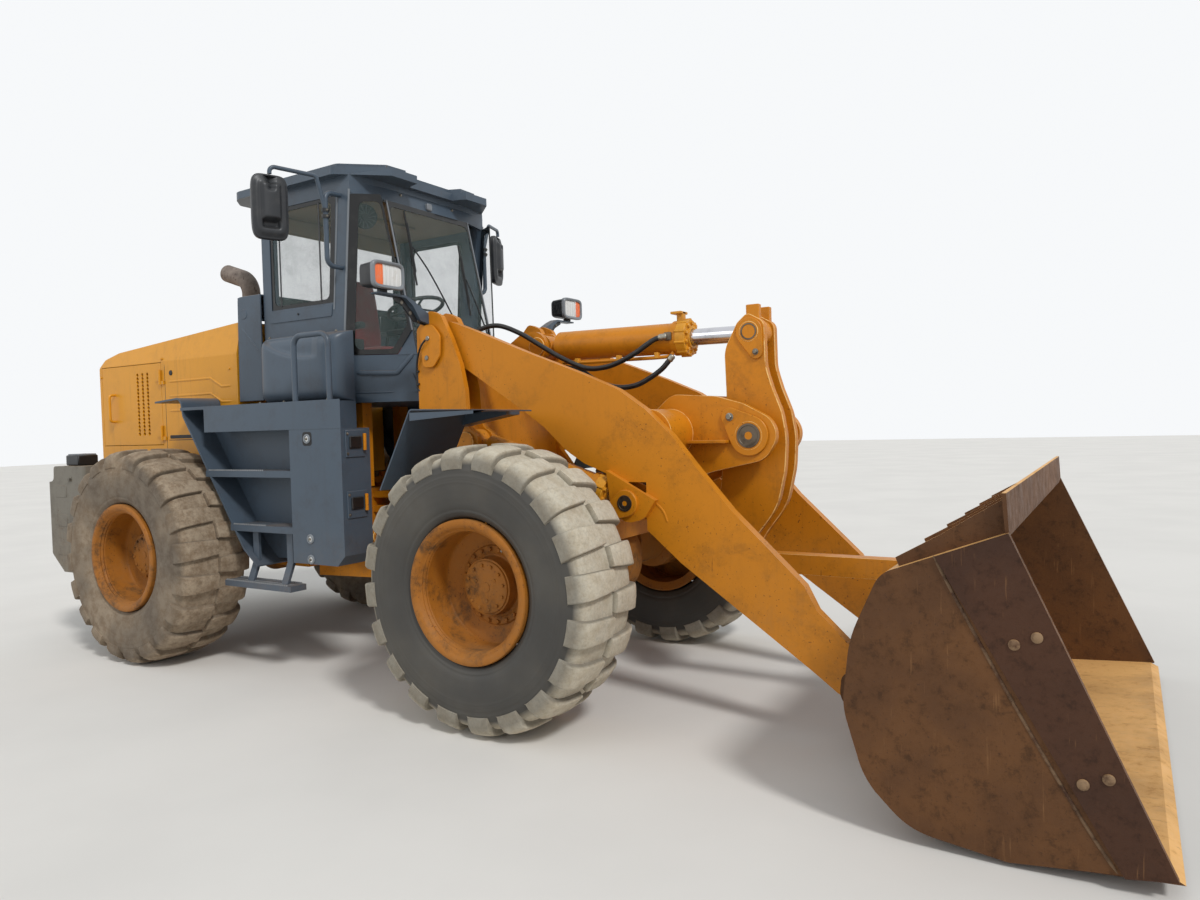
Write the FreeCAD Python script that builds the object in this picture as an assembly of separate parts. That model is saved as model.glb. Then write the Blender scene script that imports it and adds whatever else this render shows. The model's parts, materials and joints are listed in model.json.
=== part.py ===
import FreeCAD, Part
import os
from math import asin, atan2, cos, degrees, hypot, pi, radians, sin, sqrt, tan

V = FreeCAD.Vector
os.makedirs("parts", exist_ok=True)

# Articulated wheel loader, millimetres. +X points to the bucket, +Y to the
# machine's left, +Z up, z = 0 is the ground. Shapes are drawn from the
# articulation hinge, and HINGE_X then centres the whole length on x = 0.

# Running gear
AXLE_X = 1650.0            # each axle from the hinge
TREAD = 2260.0
TYRE_R = 800.0             # over the lugs
TYRE_HALF = 280.0          # half the section width
LUG_HEIGHT = 36.0
LUGS = 20                  # on each half of a tread
CARCASS_SIDES = 20         # flat sides of the carcass under the lugs
RIM_R = 400.0              # rim flange
RIM_BORE_R = 345.0         # bead seat inside the tyre
RIM_SIDE = 272.0           # rim flange from the wheel's middle
BEAD_Y = 226.0             # half width between the rim's flanges
RIM_WALL = 16.0
HUB_R = 160.0
HUB_FACE = 92.0            # hub cap from the wheel's middle, outwards
SPINDLE_R = 70.0
RUNNING_FIT = 0.05
SEAT_GAP = 0.3             # between curved faces that sit on each other
AXLE_Z = TYRE_R
AXLE_TUBE_R = 125.0
AXLE_END = 800.0           # half length of the axle housing
WHEEL_Y = TREAD / 2
SPINDLE_END = WHEEL_Y - 122.0
PAD_Z = 930.0              # top of the pads that the front frame rests on
TRUNNION_R = 110.0
TRUNNION_PLATE = 40.0
SHAFT_R = 42.0
JOINT_BALL_R = 58.0        # universal joint at the articulation

# Side clearances
MOVE_GAP = 6.0             # between pieces that move past each other

# Articulation
STEER_LIMIT = 35.0
HINGE_PIN_R = 45.0
HINGE_LUG_R = 120.0
HINGE_LUG = 50.0           # thickness of a hinge lug
HINGE_LEVELS = (645.0, 1145.0)
FRONT_NECK_X = 300.0       # rear face of the front frame's side plates
REAR_NECK_X = -260.0
NECK_HALF = 238.0          # half width of the rear neck's nose, clear of the steering cylinders

# Working arm, pins in the XZ plane
BOOM_PIVOT = (795.0, 2288.0)
ROCKER_PIVOT = (2839.0, 1601.0)
ROCKER_TOP = (2802.0, 2215.0)
ROCKER_LOW = (2570.0, 835.0)
BUCKET_PIVOT = (3570.0, 320.0)
BUCKET_TOP = (3685.0, 833.0)
TILT_BASE = (1258.0, 2235.0)
LIFT_BASE = (1070.0, 1600.0)
LIFT_EYE = (2230.0, 1230.0)
BOOM_RAISE = 68.0
ARM_IN = 525.0
ARM_OUT = 595.0
ARM_MID = (ARM_IN + ARM_OUT) / 2
PIN_R = 45.0
TOWER_IN = 455.0           # inner tower plate, inner face
TOWER_OUT = 655.0          # outer tower plate, outer face
TOWER_BACK = 668.0
TOWER_PLATE = 40.0
TOWER_FOOT_X = 945.0       # the tower's lower end starts here, clear of the tanks at full lock
FRAME_Y = 400.0            # front frame side plates, inner face
FRAME_PLATE = 50.0
TILT_EAR_IN = 62.0         # ears of the tilt cylinder's pin
TILT_EAR_OUT = 102.0
CROSS_TUBE = (2330.0, 1620.0)
CROSS_R = 150.0
CLEVIS_HALF = 76.0         # half width of the fork that holds the lift cylinder's eye
CLEVIS_PLATE = 28.0
EYE_R = 88.0
ROCKER_PIN_R = 50.0
ROCKER_IN = 62.0           # rocker plates, inner face
ROCKER_OUT = 112.0
ROCKER_CHEEK_IN = 190.0    # boom cheeks that carry the rocker
ROCKER_CHEEK_OUT = 240.0
LINK_HALF = 50.0
EAR_IN = 60.0              # bucket ears at the link's pin
EAR_OUT = 95.0
BUCKET_BOSS = 30.0         # arm's boss at the bucket, beyond each face
LAMP = (820.0, 1040.0, 2650.0)

# Cylinders
LIFT_BARREL_R = 85.0
LIFT_BARREL = 1040.0       # barrel's mouth from its base pin
LIFT_ROD_R = 42.0
TILT_BARREL_R = 98.0
TILT_BARREL = 1100.0
TILT_CLOSING = 345.0       # stroke left for dumping
CYLINDER_END = 25.0        # wall behind the bore
STEER_CLOSING = 215.0
TILT_ROD_R = 52.0
STEER_BASE = (-650.0, 360.0)
STEER_EYE = (220.0, 340.0)
STEER_Z = 900.0
STEER_BARREL_R = 48.0
STEER_BARREL = 500.0
STEER_ROD_R = 25.0

# Bucket
BUCKET_HALF = 1490.0
BUCKET_TIP = (4862.0, 64.0)
BUCKET_WALL = 25.0
SIDE_WALL = 22.0
CUTTER_WALL = 14.0
GUARD_RIBS = 6

# Rear body
REAR_X = -3147.0
WEIGHT_Y = 1200.0
WEIGHT_TOP = 1468.0
WEIGHT_POCKET = 1330.0     # floor of the pocket that the hood stands in
TOW_X = REAR_X + 75.0
TOW_Z = 900.0
TOW_BORE_R = 26.0
TOW_PLATE = 30.0
TOW_GAP = 60.0
RAIL_Y = 380.0
RAIL_PLATE = 50.0
RAIL_TOP = 1240.0
REAR_WALL_X = -760.0       # front face of the wall that the neck stands on
CAB_STAND_Y = 560.0        # outer face of the cab's stands
HOOD_Y = 750.0
HOOD_WALL = 22.0
HOOD_REAR = -3015.0
HOOD_FRONT = -1105.0
DOOR_FRONT = -2100.0
DOOR_REAR = -2975.0
DOOR_LOW = 1625.0
DOOR_HIGH = 2300.0
GRILLE_HOLE_R = 17.0
GRILLE_Y = 600.0           # half width of the radiator grille
ENGINE_TOP = 2150.0
PIPE_X = -1500.0
PIPE_Y = -300.0
PIPE_R = 72.0
DECK_Y = 1080.0
DECK_IN = 735.0
FENDER_IN = HOOD_Y + 4     # beside the hood
DECK_TOP = 1902.0
DECK_DEPTH = 190.0
DECK_FRONT = 471.0
DECK_REAR = -1055.0
DECK_SKIN = 12.0
SWEEP_GAP = 12.0           # decks to the towers at full lock
STEP_IN = 880.0
STEP_LOW = 620.0
TANK_FRONT = 375.0
TANK_REAR = -127.0
TANK_LOW = 810.0
TANK_IN = 830.0

# Cab
CAB_Y = 720.0
CAB_REAR = -800.0
CAB_LOW = 1920.0
CAB_TOP = 3400.0
CAB_WALL = 30.0
SILL_FRONT = 2220.0        # under the windscreen
SILL_SIDE = 2600.0         # under the side windows
GLASS = 8.0
NOSE_Y = 440.0             # half width of the windscreen
ROOF_TOP = 3560.0
MIRROR_Y = 1200.0
MIRROR_WIDE = 240.0
MIRROR_DEEP = 84.0
MIRROR_TOE = 20.0          # turned in towards the driver
MIRROR_TOP = 3390.0
MIRROR_LOW = 2960.0
CAB_DOOR_HINGE = (CAB_REAR + 90 + MOVE_GAP + 6, CAB_Y + 14)
HOOD_DOOR_HINGE = (DOOR_FRONT - 2, HOOD_Y + 12)
DOOR_HINGE_LEVELS = (1690.0, 2150.0)
CAB_HINGE_LEVELS = (2050.0, 2900.0)

TIP_X = BUCKET_TIP[0]
HINGE_X = -(TIP_X + REAR_X) / 2


def point(axis, a, b, c):
    """Point with a and b in the plane across axis, and c along it."""
    return {"x": V(c, a, b), "y": V(a, c, b), "z": V(a, b, c)}[axis]


def wire(axis, points, level=0.0):
    """Closed outline across an axis; a third number in a point rounds its corner."""
    count = len(points)
    corners = []
    for i, p in enumerate(points):
        here = point(axis, p[0], p[1], level)
        if len(p) < 3:
            corners.append((here, None, here))
            continue
        before = point(axis, points[i - 1][0], points[i - 1][1], level)
        after = point(axis, points[(i + 1) % count][0], points[(i + 1) % count][1], level)
        u = (before - here).normalize()
        w = (after - here).normalize()
        half = u.getAngle(w) / 2
        run = p[2] / tan(half)
        centre = here + (u + w).normalize() * (p[2] / sin(half))
        middle = centre + (here - centre).normalize() * p[2]
        corners.append((here + u * run, middle, here + w * run))
    edges = []
    for i, (start, middle, end) in enumerate(corners):
        if middle:
            edges.append(Part.Arc(start, middle, end).toShape())
        nearest = corners[(i + 1) % count][0]
        if (nearest - end).Length > 1e-4:
            edges.append(Part.LineSegment(end, nearest).toShape())
    return Part.Wire(edges)


def prism(axis, points, low, high):
    """Outline carried along an axis from low to high."""
    face = Part.Face(wire(axis, points, low))
    return face.extrude(point(axis, 0, 0, high - low))


def box(x0, x1, y0, y1, z0, z1):
    return Part.makeBox(x1 - x0, y1 - y0, z1 - z0, V(x0, y0, z0))


def rod(start, end, radius):
    """Round bar between two points."""
    run = V(*end) - V(*start)
    return Part.makeCylinder(radius, run.Length, V(*start), run)


def pin(place, radius, low, high):
    """Round bar along Y at a pin's place in the XZ plane."""
    return Part.makeCylinder(radius, high - low, V(place[0], low, place[1]), V(0, 1, 0))


def post(x, y, radius, low, high):
    return Part.makeCylinder(radius, high - low, V(x, y, low), V(0, 0, 1))


def turned(points, centre=(0, 0, 0)):
    """Profile of (radius, y) points turned about the Y axis through centre."""
    outline = [V(p[0], p[1], 0) for p in points]
    face = Part.Face(Part.makePolygon(outline + outline[:1]))
    return face.revolve(V(0, 0, 0), V(0, 1, 0), 360).translated(V(*centre))


def tube(points, radius, bend):
    """Round tube through points, each corner bent to one radius."""
    route = [V(*p) for p in points]
    pieces = []
    last = route[0]
    for i in range(1, len(route) - 1):
        here = route[i]
        u = (route[i - 1] - here).normalize()
        w = (route[i + 1] - here).normalize()
        half = u.getAngle(w) / 2
        run = bend / tan(half)
        centre = here + (u + w).normalize() * (bend / sin(half))
        start = here + u * run
        pieces.append(Part.makeCylinder(radius, (start - last).Length, last, start - last))
        face = Part.Face(Part.Wire(Part.makeCircle(radius, start, u)))
        pieces.append(face.revolve(centre, w.cross(u), 180 - degrees(2 * half)))
        last = here + w * run
    pieces.append(Part.makeCylinder(radius, (route[-1] - last).Length, last, route[-1] - last))
    return joined(*pieces)


def mirrored(shape):
    return shape.mirror(V(0, 0, 0), V(0, 1, 0))


def both(shape):
    """A shape and its twin across the machine's middle, not touching."""
    return Part.makeCompound([shape, mirrored(shape)])


def joined(*shapes):
    """Pieces welded into one."""
    first = shapes[0]
    return first.multiFuse(list(shapes[1:])).removeSplitter()


def pair(shape):
    """A shape welded to its twin across the middle."""
    return joined(shape, mirrored(shape))


def emit(name, shape):
    shape.translated(V(HINGE_X, 0, 0)).exportStep("parts/" + name + ".step")
    return shape


def on_side(shape, side):
    """Right-hand piece (y < 0) put on its side: -1 keeps it, 1 mirrors it."""
    return shape if side < 0 else mirrored(shape)


SIDES = (("right", -1), ("left", 1))


# Wheels

CARCASS_R = TYRE_R - LUG_HEIGHT
# Half section of the carcass: radius, distance from the middle plane
CARCASS = (((RIM_BORE_R + SEAT_GAP) / cos(pi / CARCASS_SIDES), BEAD_Y - 7), (RIM_R + 8, BEAD_Y + 2),
           (590, TYRE_HALF), (700, 264), (CARCASS_R, 190))
PITCH = 2 * pi / LUGS


def faceted_ring(section, sides):
    """Closed (radius, y) section turned about Y in flat sides."""
    rings = []
    for i in range(sides):
        turn = 2 * pi * (i + 0.5) / sides
        rings.append([V(r * cos(turn), y, r * sin(turn)) for r, y in section])
    faces = []
    for i in range(sides):
        a, b = rings[i], rings[(i + 1) % sides]
        for j in range(len(section)):
            k = (j + 1) % len(section)
            faces.append(Part.Face(Part.makePolygon([a[j], b[j], b[k], a[k], a[j]])))
    solid = Part.Solid(Part.Shell(faces))
    if solid.Volume < 0:
        solid.reverse()
    return solid


def lug(half):
    """One tread lug on top of the wheel: a bar from mid tread out over the shoulder."""
    narrow, wide, skew = 0.20 * PITCH * TYRE_R, 0.29 * PITCH * TYRE_R, 0.05 * PITCH * TYRE_R
    top = sqrt(TYRE_R ** 2 - (wide + skew) ** 2)
    plan = [(-narrow, 6), (narrow, 6), (wide + skew, 300), (skew - wide, 300)]
    side = [(6, CARCASS_R - 20), (6, top), (226, top), (TYRE_HALF - 2, 716), (TYRE_HALF - 20, 680), (180, 700)]
    crown = prism("z", [(x, half * y) for x, y in plan], 600, 900)
    return crown.common(prism("x", [(half * y, z) for y, z in side], -200, 200))


def tyre():
    """Tyre about the Y axis, turned so that a lug's edge is its lowest line."""
    to_edge = degrees(asin((0.29 + 0.05) * PITCH))
    section = [(r, -y) for r, y in CARCASS] + [(r, y) for r, y in reversed(CARCASS)]
    lugs = []
    for half in (-1, 1):
        for i in range(LUGS):
            one = lug(half)
            one.rotate(V(0, 0, 0), V(0, 1, 0), 360.0 / LUGS * (i + (0.5 if half > 0 else 0.0)) - to_edge)
            lugs.append(one)
    return faceted_ring(section, CARCASS_SIDES).multiFuse(lugs)


def rim(side):
    """Rim with its dished disc and planet hub, outwards along +Y."""
    bead = BEAD_Y
    barrel = ((RIM_BORE_R - RIM_WALL, -bead - 16), (RIM_R - 6, -bead - 30), (RIM_R - 6, -bead - 6),
              (RIM_BORE_R, -bead + 6), (RIM_BORE_R, bead - 6), (RIM_R, bead + 6),
              (RIM_R, RIM_SIDE), (RIM_R - 26, RIM_SIDE), (RIM_BORE_R - RIM_WALL, bead - 20))
    disc = ((RIM_BORE_R - 4, 62), (RIM_BORE_R - 4, 38), (250, 4), (HUB_R - 8, 4), (HUB_R - 8, 34), (240, 34))
    hub = ((SPINDLE_R + RUNNING_FIT, 4 - 330), (HUB_R + 30, 4 - 330), (HUB_R + 30, -60),
           (HUB_R + 62, 3.9), (HUB_R, 3.9), (HUB_R, HUB_FACE - 20), (HUB_R - 18, HUB_FACE),
           (0, HUB_FACE), (0, -120), (SPINDLE_R + RUNNING_FIT, -120))
    shape = joined(turned(barrel), turned(disc), turned(hub))
    if side < 0:
        shape = mirrored(shape)
    return shape.translated(V(0, side * WHEEL_Y, AXLE_Z))


def wheels():
    rubber = tyre()
    for end, x in (("front", AXLE_X), ("rear", -AXLE_X)):
        for word, side in SIDES:
            emit("tyre_%s_%s" % (end, word), rubber.translated(V(x, side * WHEEL_Y, AXLE_Z)))
            emit("rim_%s_%s" % (end, word), rim(side).translated(V(x, 0, 0)))


# Axles

def axle(pad_low, pad_high):
    """Axle housing about Y with its bowl, brake drums and spindles, at the origin."""
    half = ((0, 0), (290, 0), (290, 70), (235, 150), (150, 290), (AXLE_TUBE_R, 360),
            (AXLE_TUBE_R, AXLE_END - 90), (185, AXLE_END - 70), (185, AXLE_END),
            (SPINDLE_R, AXLE_END), (SPINDLE_R, SPINDLE_END), (0, SPINDLE_END))
    housing = pair(turned(half))
    nose = joined(Part.makeCone(210, 95, 255, V(60, 0, 0), V(1, 0, 0)), rod((300, 0, 0), (390, 0, 0), 70))
    pads = pair(box(-130, 130, 350, 490, pad_low, pad_high))
    return joined(housing, nose, pads)


def axles():
    front = axle(0, PAD_Z - AXLE_Z)
    front.rotate(V(0, 0, 0), V(0, 0, 1), 180)
    emit("front_axle", front.translated(V(AXLE_X, 0, AXLE_Z)))
    rear = axle(-60, 60)
    trunnion = rod((-300, 0, 0), (-420, 0, 0), TRUNNION_R)
    collar = rod((310, 0, 0), (400, 0, 0), TRUNNION_R)
    rear = joined(rear, rod((0, 0, 0), (-300, 0, 0), 150), trunnion, collar)
    emit("rear_axle", rear.translated(V(-AXLE_X, 0, AXLE_Z)))


def drive_shafts():
    """Front propeller shaft, from the ball at the articulation to the axle's nose."""
    start = JOINT_BALL_R + SEAT_GAP
    flange = AXLE_X - 390
    front = joined(rod((start, 0, AXLE_Z), (flange, 0, AXLE_Z), SHAFT_R),
                   rod((flange - 40, 0, AXLE_Z), (flange, 0, AXLE_Z), 75),
                   rod((start, 0, AXLE_Z), (start + 40, 0, AXLE_Z), 62))
    emit("front_shaft", front)


# Front frame

def tower_outline(low_front):
    """Tower plate seen from the side; the foot reaches to the lift cylinder's pin."""
    return [(TOWER_BACK, 1800), (TOWER_BACK, 2352, 30), (786, 2474, 40), (883, 2432, 40),
            (964, 2276, 80), (1033, 2107, 200), (1068, 1941, 120), (1080, 1700, 60),
            (1160, 1650, 40), (1160, 1530, 50), (1060, low_front, 60), (TOWER_FOOT_X + 30, 1525, 40),
            (TOWER_FOOT_X, 1730, 30)]


def front_frame():
    plate = prism("y", [(FRONT_NECK_X, 560), (FRONT_NECK_X, 1150), (560, 1660, 60), (TOWER_BACK, 1830),
                        (TOWER_BACK, 2050), (1035, 2050), (1075, 1520, 60), (1300, 1240, 120), (1930, 1120, 80),
                        (1990, 1040, 30), (1990, PAD_Z), (1340, PAD_Z), (1250, 560)],
                  -FRAME_Y - FRAME_PLATE, -FRAME_Y)
    outer = prism("y", tower_outline(1500), -TOWER_OUT, -TOWER_OUT + TOWER_PLATE)
    inner = prism("y", tower_outline(1500), -TOWER_IN - FRAME_PLATE, -TOWER_IN)
    link = box(TOWER_BACK + 30, 1000, -TOWER_IN - 1, -FRAME_Y - FRAME_PLATE + 1, 1820, 2040)
    back = box(TOWER_BACK, TOWER_BACK + 25, -TOWER_OUT + 20, -TOWER_IN - 20, 1800, 2080)
    foot = prism("y", [(TOWER_BACK + 5, 1799), (TOWER_FOOT_X - 5, 1732), (TOWER_FOOT_X - 5, 1758),
                       (TOWER_BACK + 5, 1825)], -TOWER_OUT + 20, -TOWER_IN - 20)
    side = joined(plate, outer, inner, link, back, foot)
    for place in (BOOM_PIVOT, LIFT_BASE):
        side = side.cut(pin(place, PIN_R + RUNNING_FIT, -TOWER_OUT - 5, -TOWER_IN + 5))
    frame = pair(side)
    bulkhead = box(FRONT_NECK_X, FRONT_NECK_X + 45, -FRAME_Y - 10, FRAME_Y + 10, 560, 1230)
    cross = box(1000, 1040, -FRAME_Y - 10, FRAME_Y + 10, 1180, 2040)
    beam = prism("y", [(TOWER_BACK + 40, 1860), (TOWER_BACK + 40, 2020, 30), (1000, 2120, 40), (1035, 2050),
                       (1020, 1860)], -TOWER_IN - 10, TOWER_IN + 10)
    nose = box(1930, 1970, -FRAME_Y - 10, FRAME_Y + 10, 960, 1080)
    ears = pair(prism("y", [(TOWER_BACK + 60, 1980), (TOWER_BACK + 60, 2090, 40), (1120, 2330, 60),
                            (1258, 2345, 110), (1368, 2235, 100), (1258, 2120, 80), (1030, 1980)],
                      -TILT_EAR_OUT, -TILT_EAR_IN))
    ears = ears.cut(pin(TILT_BASE, PIN_R + RUNNING_FIT, -200, 200))
    lugs = []
    for level in HINGE_LEVELS:
        lug_plate = prism("z", [(FRONT_NECK_X + 20, -260), (FRONT_NECK_X + 20, 260), (150, 180, 60),
                                (-HINGE_LUG_R, HINGE_LUG_R, HINGE_LUG_R - 1),
                                (-HINGE_LUG_R, -HINGE_LUG_R, HINGE_LUG_R - 1), (150, -180, 60)],
                          level - HINGE_LUG / 2, level + HINGE_LUG / 2)
        lugs.append(lug_plate.cut(post(0, 0, HINGE_PIN_R + RUNNING_FIT, level - 90, level + 90)))
    steer_ears = []
    for low in (STEER_Z - 76, STEER_Z + 46):
        ear = prism("z", [(FRONT_NECK_X + 20, -400), (STEER_EYE[0] - 45, -STEER_EYE[1] - 45, 44),
                          (STEER_EYE[0] - 45, -STEER_EYE[1] + 45, 44), (FRONT_NECK_X + 20, -270)],
                    low, low + 30)
        steer_ears.append(pair(ear))
    heads = pair(joined(post(STEER_EYE[0], -STEER_EYE[1], 30, STEER_Z + 75, STEER_Z + 88),
                        post(STEER_EYE[0], -STEER_EYE[1], 30, STEER_Z - 88, STEER_Z - 75)))
    frame = joined(frame, bulkhead, cross, beam, nose, ears, heads, *lugs, *steer_ears)
    frame = frame.cut(rod((FRONT_NECK_X - 20, 0, AXLE_Z), (FRONT_NECK_X + 80, 0, AXLE_Z), 110))
    pocket = box(FRONT_NECK_X - 1, FRONT_NECK_X + 18, -FRAME_Y, -STEER_EYE[1] + 55, STEER_Z - 44, STEER_Z + 44)
    emit("front_frame", frame.cut(pair(pocket)))
    caps = []
    for place, reach in ((BOOM_PIVOT, 22), (LIFT_BASE, 18)):
        pivot = pin(place, PIN_R, -TOWER_OUT - 4, -TOWER_IN)
        head = pin(place, PIN_R + 22, -TOWER_OUT - reach, -TOWER_OUT)
        caps.append(both(joined(pivot, head)))
    tilt = joined(pin(TILT_BASE, PIN_R, -TILT_EAR_OUT - 4, TILT_EAR_OUT + 4),
                  pin(TILT_BASE, PIN_R + 18, -TILT_EAR_OUT - 14, -TILT_EAR_OUT))
    emit("frame_pins", Part.makeCompound(caps + [tilt]))


def front_fenders():
    """Flat plate over the front tyre, bent down behind it, with a stay to the tower."""
    sheet = prism("y", [(1195, 1808, 30), (1998, 1788), (1998, 1780), (1199, 1800, 24), (945, 1336), (937, 1339)],
                  -1300, -760)
    stay = prism("y", [(1020, 1745), (1020, 1715), (1100, 1700), (1500, 1765), (1500, 1787), (1190, 1792)],
                 -790, -TOWER_OUT)
    lip = box(1195, 1998, -1300, -1292, 1740, 1786)
    emit("front_fenders", both(joined(sheet, stay, lip)))


def front_lamps():
    """Lamp on its bent carrier from the tower's back corner."""
    x, y, z = LAMP
    housing = prism("x", [(-y - 135, z - 85, 25), (-y - 135, z + 85, 25), (-y + 135, z + 85, 25),
                          (-y + 135, z - 85, 25)], x - 150, x)
    neck = box(x - 100, x - 50, -y - 25, -y + 25, z - 135, z - 84)
    arm = prism("x", [(-TOWER_OUT, 2370), (-TOWER_OUT, 2455), (-800, 2520, 60), (-y - 60, z - 108),
                      (-y - 60, z - 135), (-800, 2480, 60), (-720, 2400, 30)], x - 110, x - 40)
    emit("front_lamps", both(joined(housing, neck, arm)))


# Boom and linkage

ARM_OUTLINE = [(680, 2200, 90), (690, 2378, 90), (900, 2398, 60), (1133, 2310, 400), (1534, 2146, 500),
               (1907, 2003), (2169, 1892, 200), (2351, 1767, 300), (2510, 1618), (2663, 1431), (2869, 1196),
               (3082, 991), (3263, 817), (3327, 692), (3494, 533, 80), (3640, 420, 80), (3680, 290, 90),
               (3570, 200, 90), (3430, 277), (3291, 380), (2922, 641), (2554, 896), (2330, 1085),
               (2290, 1290, 60), (2152, 1370), (1925, 1459), (1799, 1537, 300), (1642, 1680), (1501, 1779, 900),
               (900, 2160)]
CLEVIS = [(2100, 1420), (2130, 1190, 60), (2230, 1110, 100), (2345, 1140, 90), (2420, 1250)]
CLEVIS_SLOT = [(2000, 1350), (2344, 1350), (2344, 1000), (2000, 1000)]


def boom():
    slab = prism("y", ARM_OUTLINE, -ARM_OUT, -ARM_IN)
    clear = CLEVIS_HALF - CLEVIS_PLATE
    clevis = prism("y", CLEVIS, -ARM_MID - CLEVIS_HALF, -ARM_MID + CLEVIS_HALF)
    slot = prism("y", CLEVIS_SLOT, -ARM_MID - clear, -ARM_MID + clear)
    boss = pin(BUCKET_PIVOT, 95, -ARM_OUT - BUCKET_BOSS, -ARM_IN + BUCKET_BOSS)
    arm = joined(slab, clevis).cut(slot).fuse(boss)
    arm = arm.cut(pin(BOOM_PIVOT, PIN_R + RUNNING_FIT, -ARM_OUT - 40, -ARM_IN + 40))
    arm = arm.cut(pin(LIFT_EYE, PIN_R + RUNNING_FIT, -ARM_OUT - 60, -ARM_IN + 60))
    arm = arm.cut(pin(BUCKET_PIVOT, PIN_R + RUNNING_FIT, -ARM_OUT - 60, -ARM_IN + 60))
    arm = joined(arm, pin(LIFT_EYE, PIN_R + 1, -ARM_MID - CLEVIS_HALF, -ARM_MID - clear),
                 pin(LIFT_EYE, PIN_R + 18, -ARM_MID - CLEVIS_HALF - 16, -ARM_MID - CLEVIS_HALF))
    for word, side in SIDES:
        emit("boom_arm_" + word, on_side(arm, side))
    tube_part = pin(CROSS_TUBE, CROSS_R, -ARM_IN, ARM_IN)
    plates = []
    outline = [(CROSS_TUBE[0] - 160, CROSS_TUBE[1] + 90), (2343, 1860, 120), (2635, 1837, 200), (2802, 1789, 160),
               (2961, 1703, 120), (3017, 1601, 120), (2934, 1460, 140), (2589, 1387, 200), (2380, 1290, 60),
               (CROSS_TUBE[0] - 130, CROSS_TUBE[1] - 110)]
    for low in (-ROCKER_CHEEK_OUT, ROCKER_CHEEK_IN):
        plates.append(prism("y", outline, low, low + ROCKER_CHEEK_OUT - ROCKER_CHEEK_IN))
    cross = joined(tube_part, *plates)
    cross = cross.cut(pin(CROSS_TUBE, CROSS_R - 30, -ARM_IN + 40, ARM_IN - 40))
    cross = cross.cut(pin(ROCKER_PIVOT, ROCKER_PIN_R + RUNNING_FIT, -400, 400))
    emit("boom_cross_tube", cross)


def linkage():
    outline = [(2723, 2272, 60), (2790, 2330, 40), (2894, 2270, 60), (2897, 2007, 300), (2935, 1880, 300),
               (2992, 1732, 300), (3016, 1586, 400), (3005, 1400, 500), (2953, 1172, 400), (2823, 1004, 300),
               (2700, 800, 100), (2570, 720, 100), (2455, 830, 100), (2530, 1050, 500), (2600, 1300, 400),
               (2648, 1833, 700), (2640, 2118, 200)]
    plates = [prism("y", outline, low, low + ROCKER_OUT - ROCKER_IN) for low in (-ROCKER_OUT, ROCKER_IN)]
    hub = pin(ROCKER_PIVOT, 120, -ROCKER_CHEEK_IN + MOVE_GAP, ROCKER_CHEEK_IN - MOVE_GAP)
    web = prism("y", [(2760, 1250), (2800, 1180), (2900, 1400), (2860, 1430)], -ROCKER_IN - 10, ROCKER_IN + 10)
    rocker = joined(*plates, hub, web)
    rocker = rocker.cut(pin(ROCKER_PIVOT, ROCKER_PIN_R + RUNNING_FIT, -400, 400))
    caps = [pair(pin(place, PIN_R + 16, -ROCKER_OUT - 14, -ROCKER_OUT + 1)) for place in (ROCKER_TOP, ROCKER_LOW)]
    emit("rocker", joined(rocker, *caps))
    emit("rocker_pin", joined(pin(ROCKER_PIVOT, ROCKER_PIN_R, -ROCKER_CHEEK_OUT - 3, ROCKER_CHEEK_OUT + 3),
                              pin(ROCKER_PIVOT, ROCKER_PIN_R + 35, -ROCKER_CHEEK_OUT - 18, -ROCKER_CHEEK_OUT - 0.5),
                              pin(ROCKER_PIVOT, ROCKER_PIN_R + 35, ROCKER_CHEEK_OUT + 0.5, ROCKER_CHEEK_OUT + 18)))
    emit("link_pin", joined(pin(BUCKET_TOP, PIN_R, -EAR_OUT - 3, EAR_OUT + 3),
                            pin(BUCKET_TOP, PIN_R + 16, -EAR_OUT - 14, -EAR_OUT - 0.5),
                            pin(BUCKET_TOP, PIN_R + 16, EAR_OUT + 0.5, EAR_OUT + 14)))
    x0, z0 = ROCKER_LOW
    x1, z1 = BUCKET_TOP
    bar = prism("y", [(x0, z0 - 58), (x0, z0 + 58), (x1, z1 + 58), (x1, z1 - 58)], -LINK_HALF, LINK_HALF)
    link = joined(bar, pin(ROCKER_LOW, EYE_R, -LINK_HALF, LINK_HALF), pin(BUCKET_TOP, EYE_R, -LINK_HALF, LINK_HALF))
    link = link.cut(pin(BUCKET_TOP, PIN_R + RUNNING_FIT, -100, 100))
    link = joined(link, pin(ROCKER_LOW, PIN_R, -LINK_HALF - 3, LINK_HALF + 3))
    emit("tilt_link", link)


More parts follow.
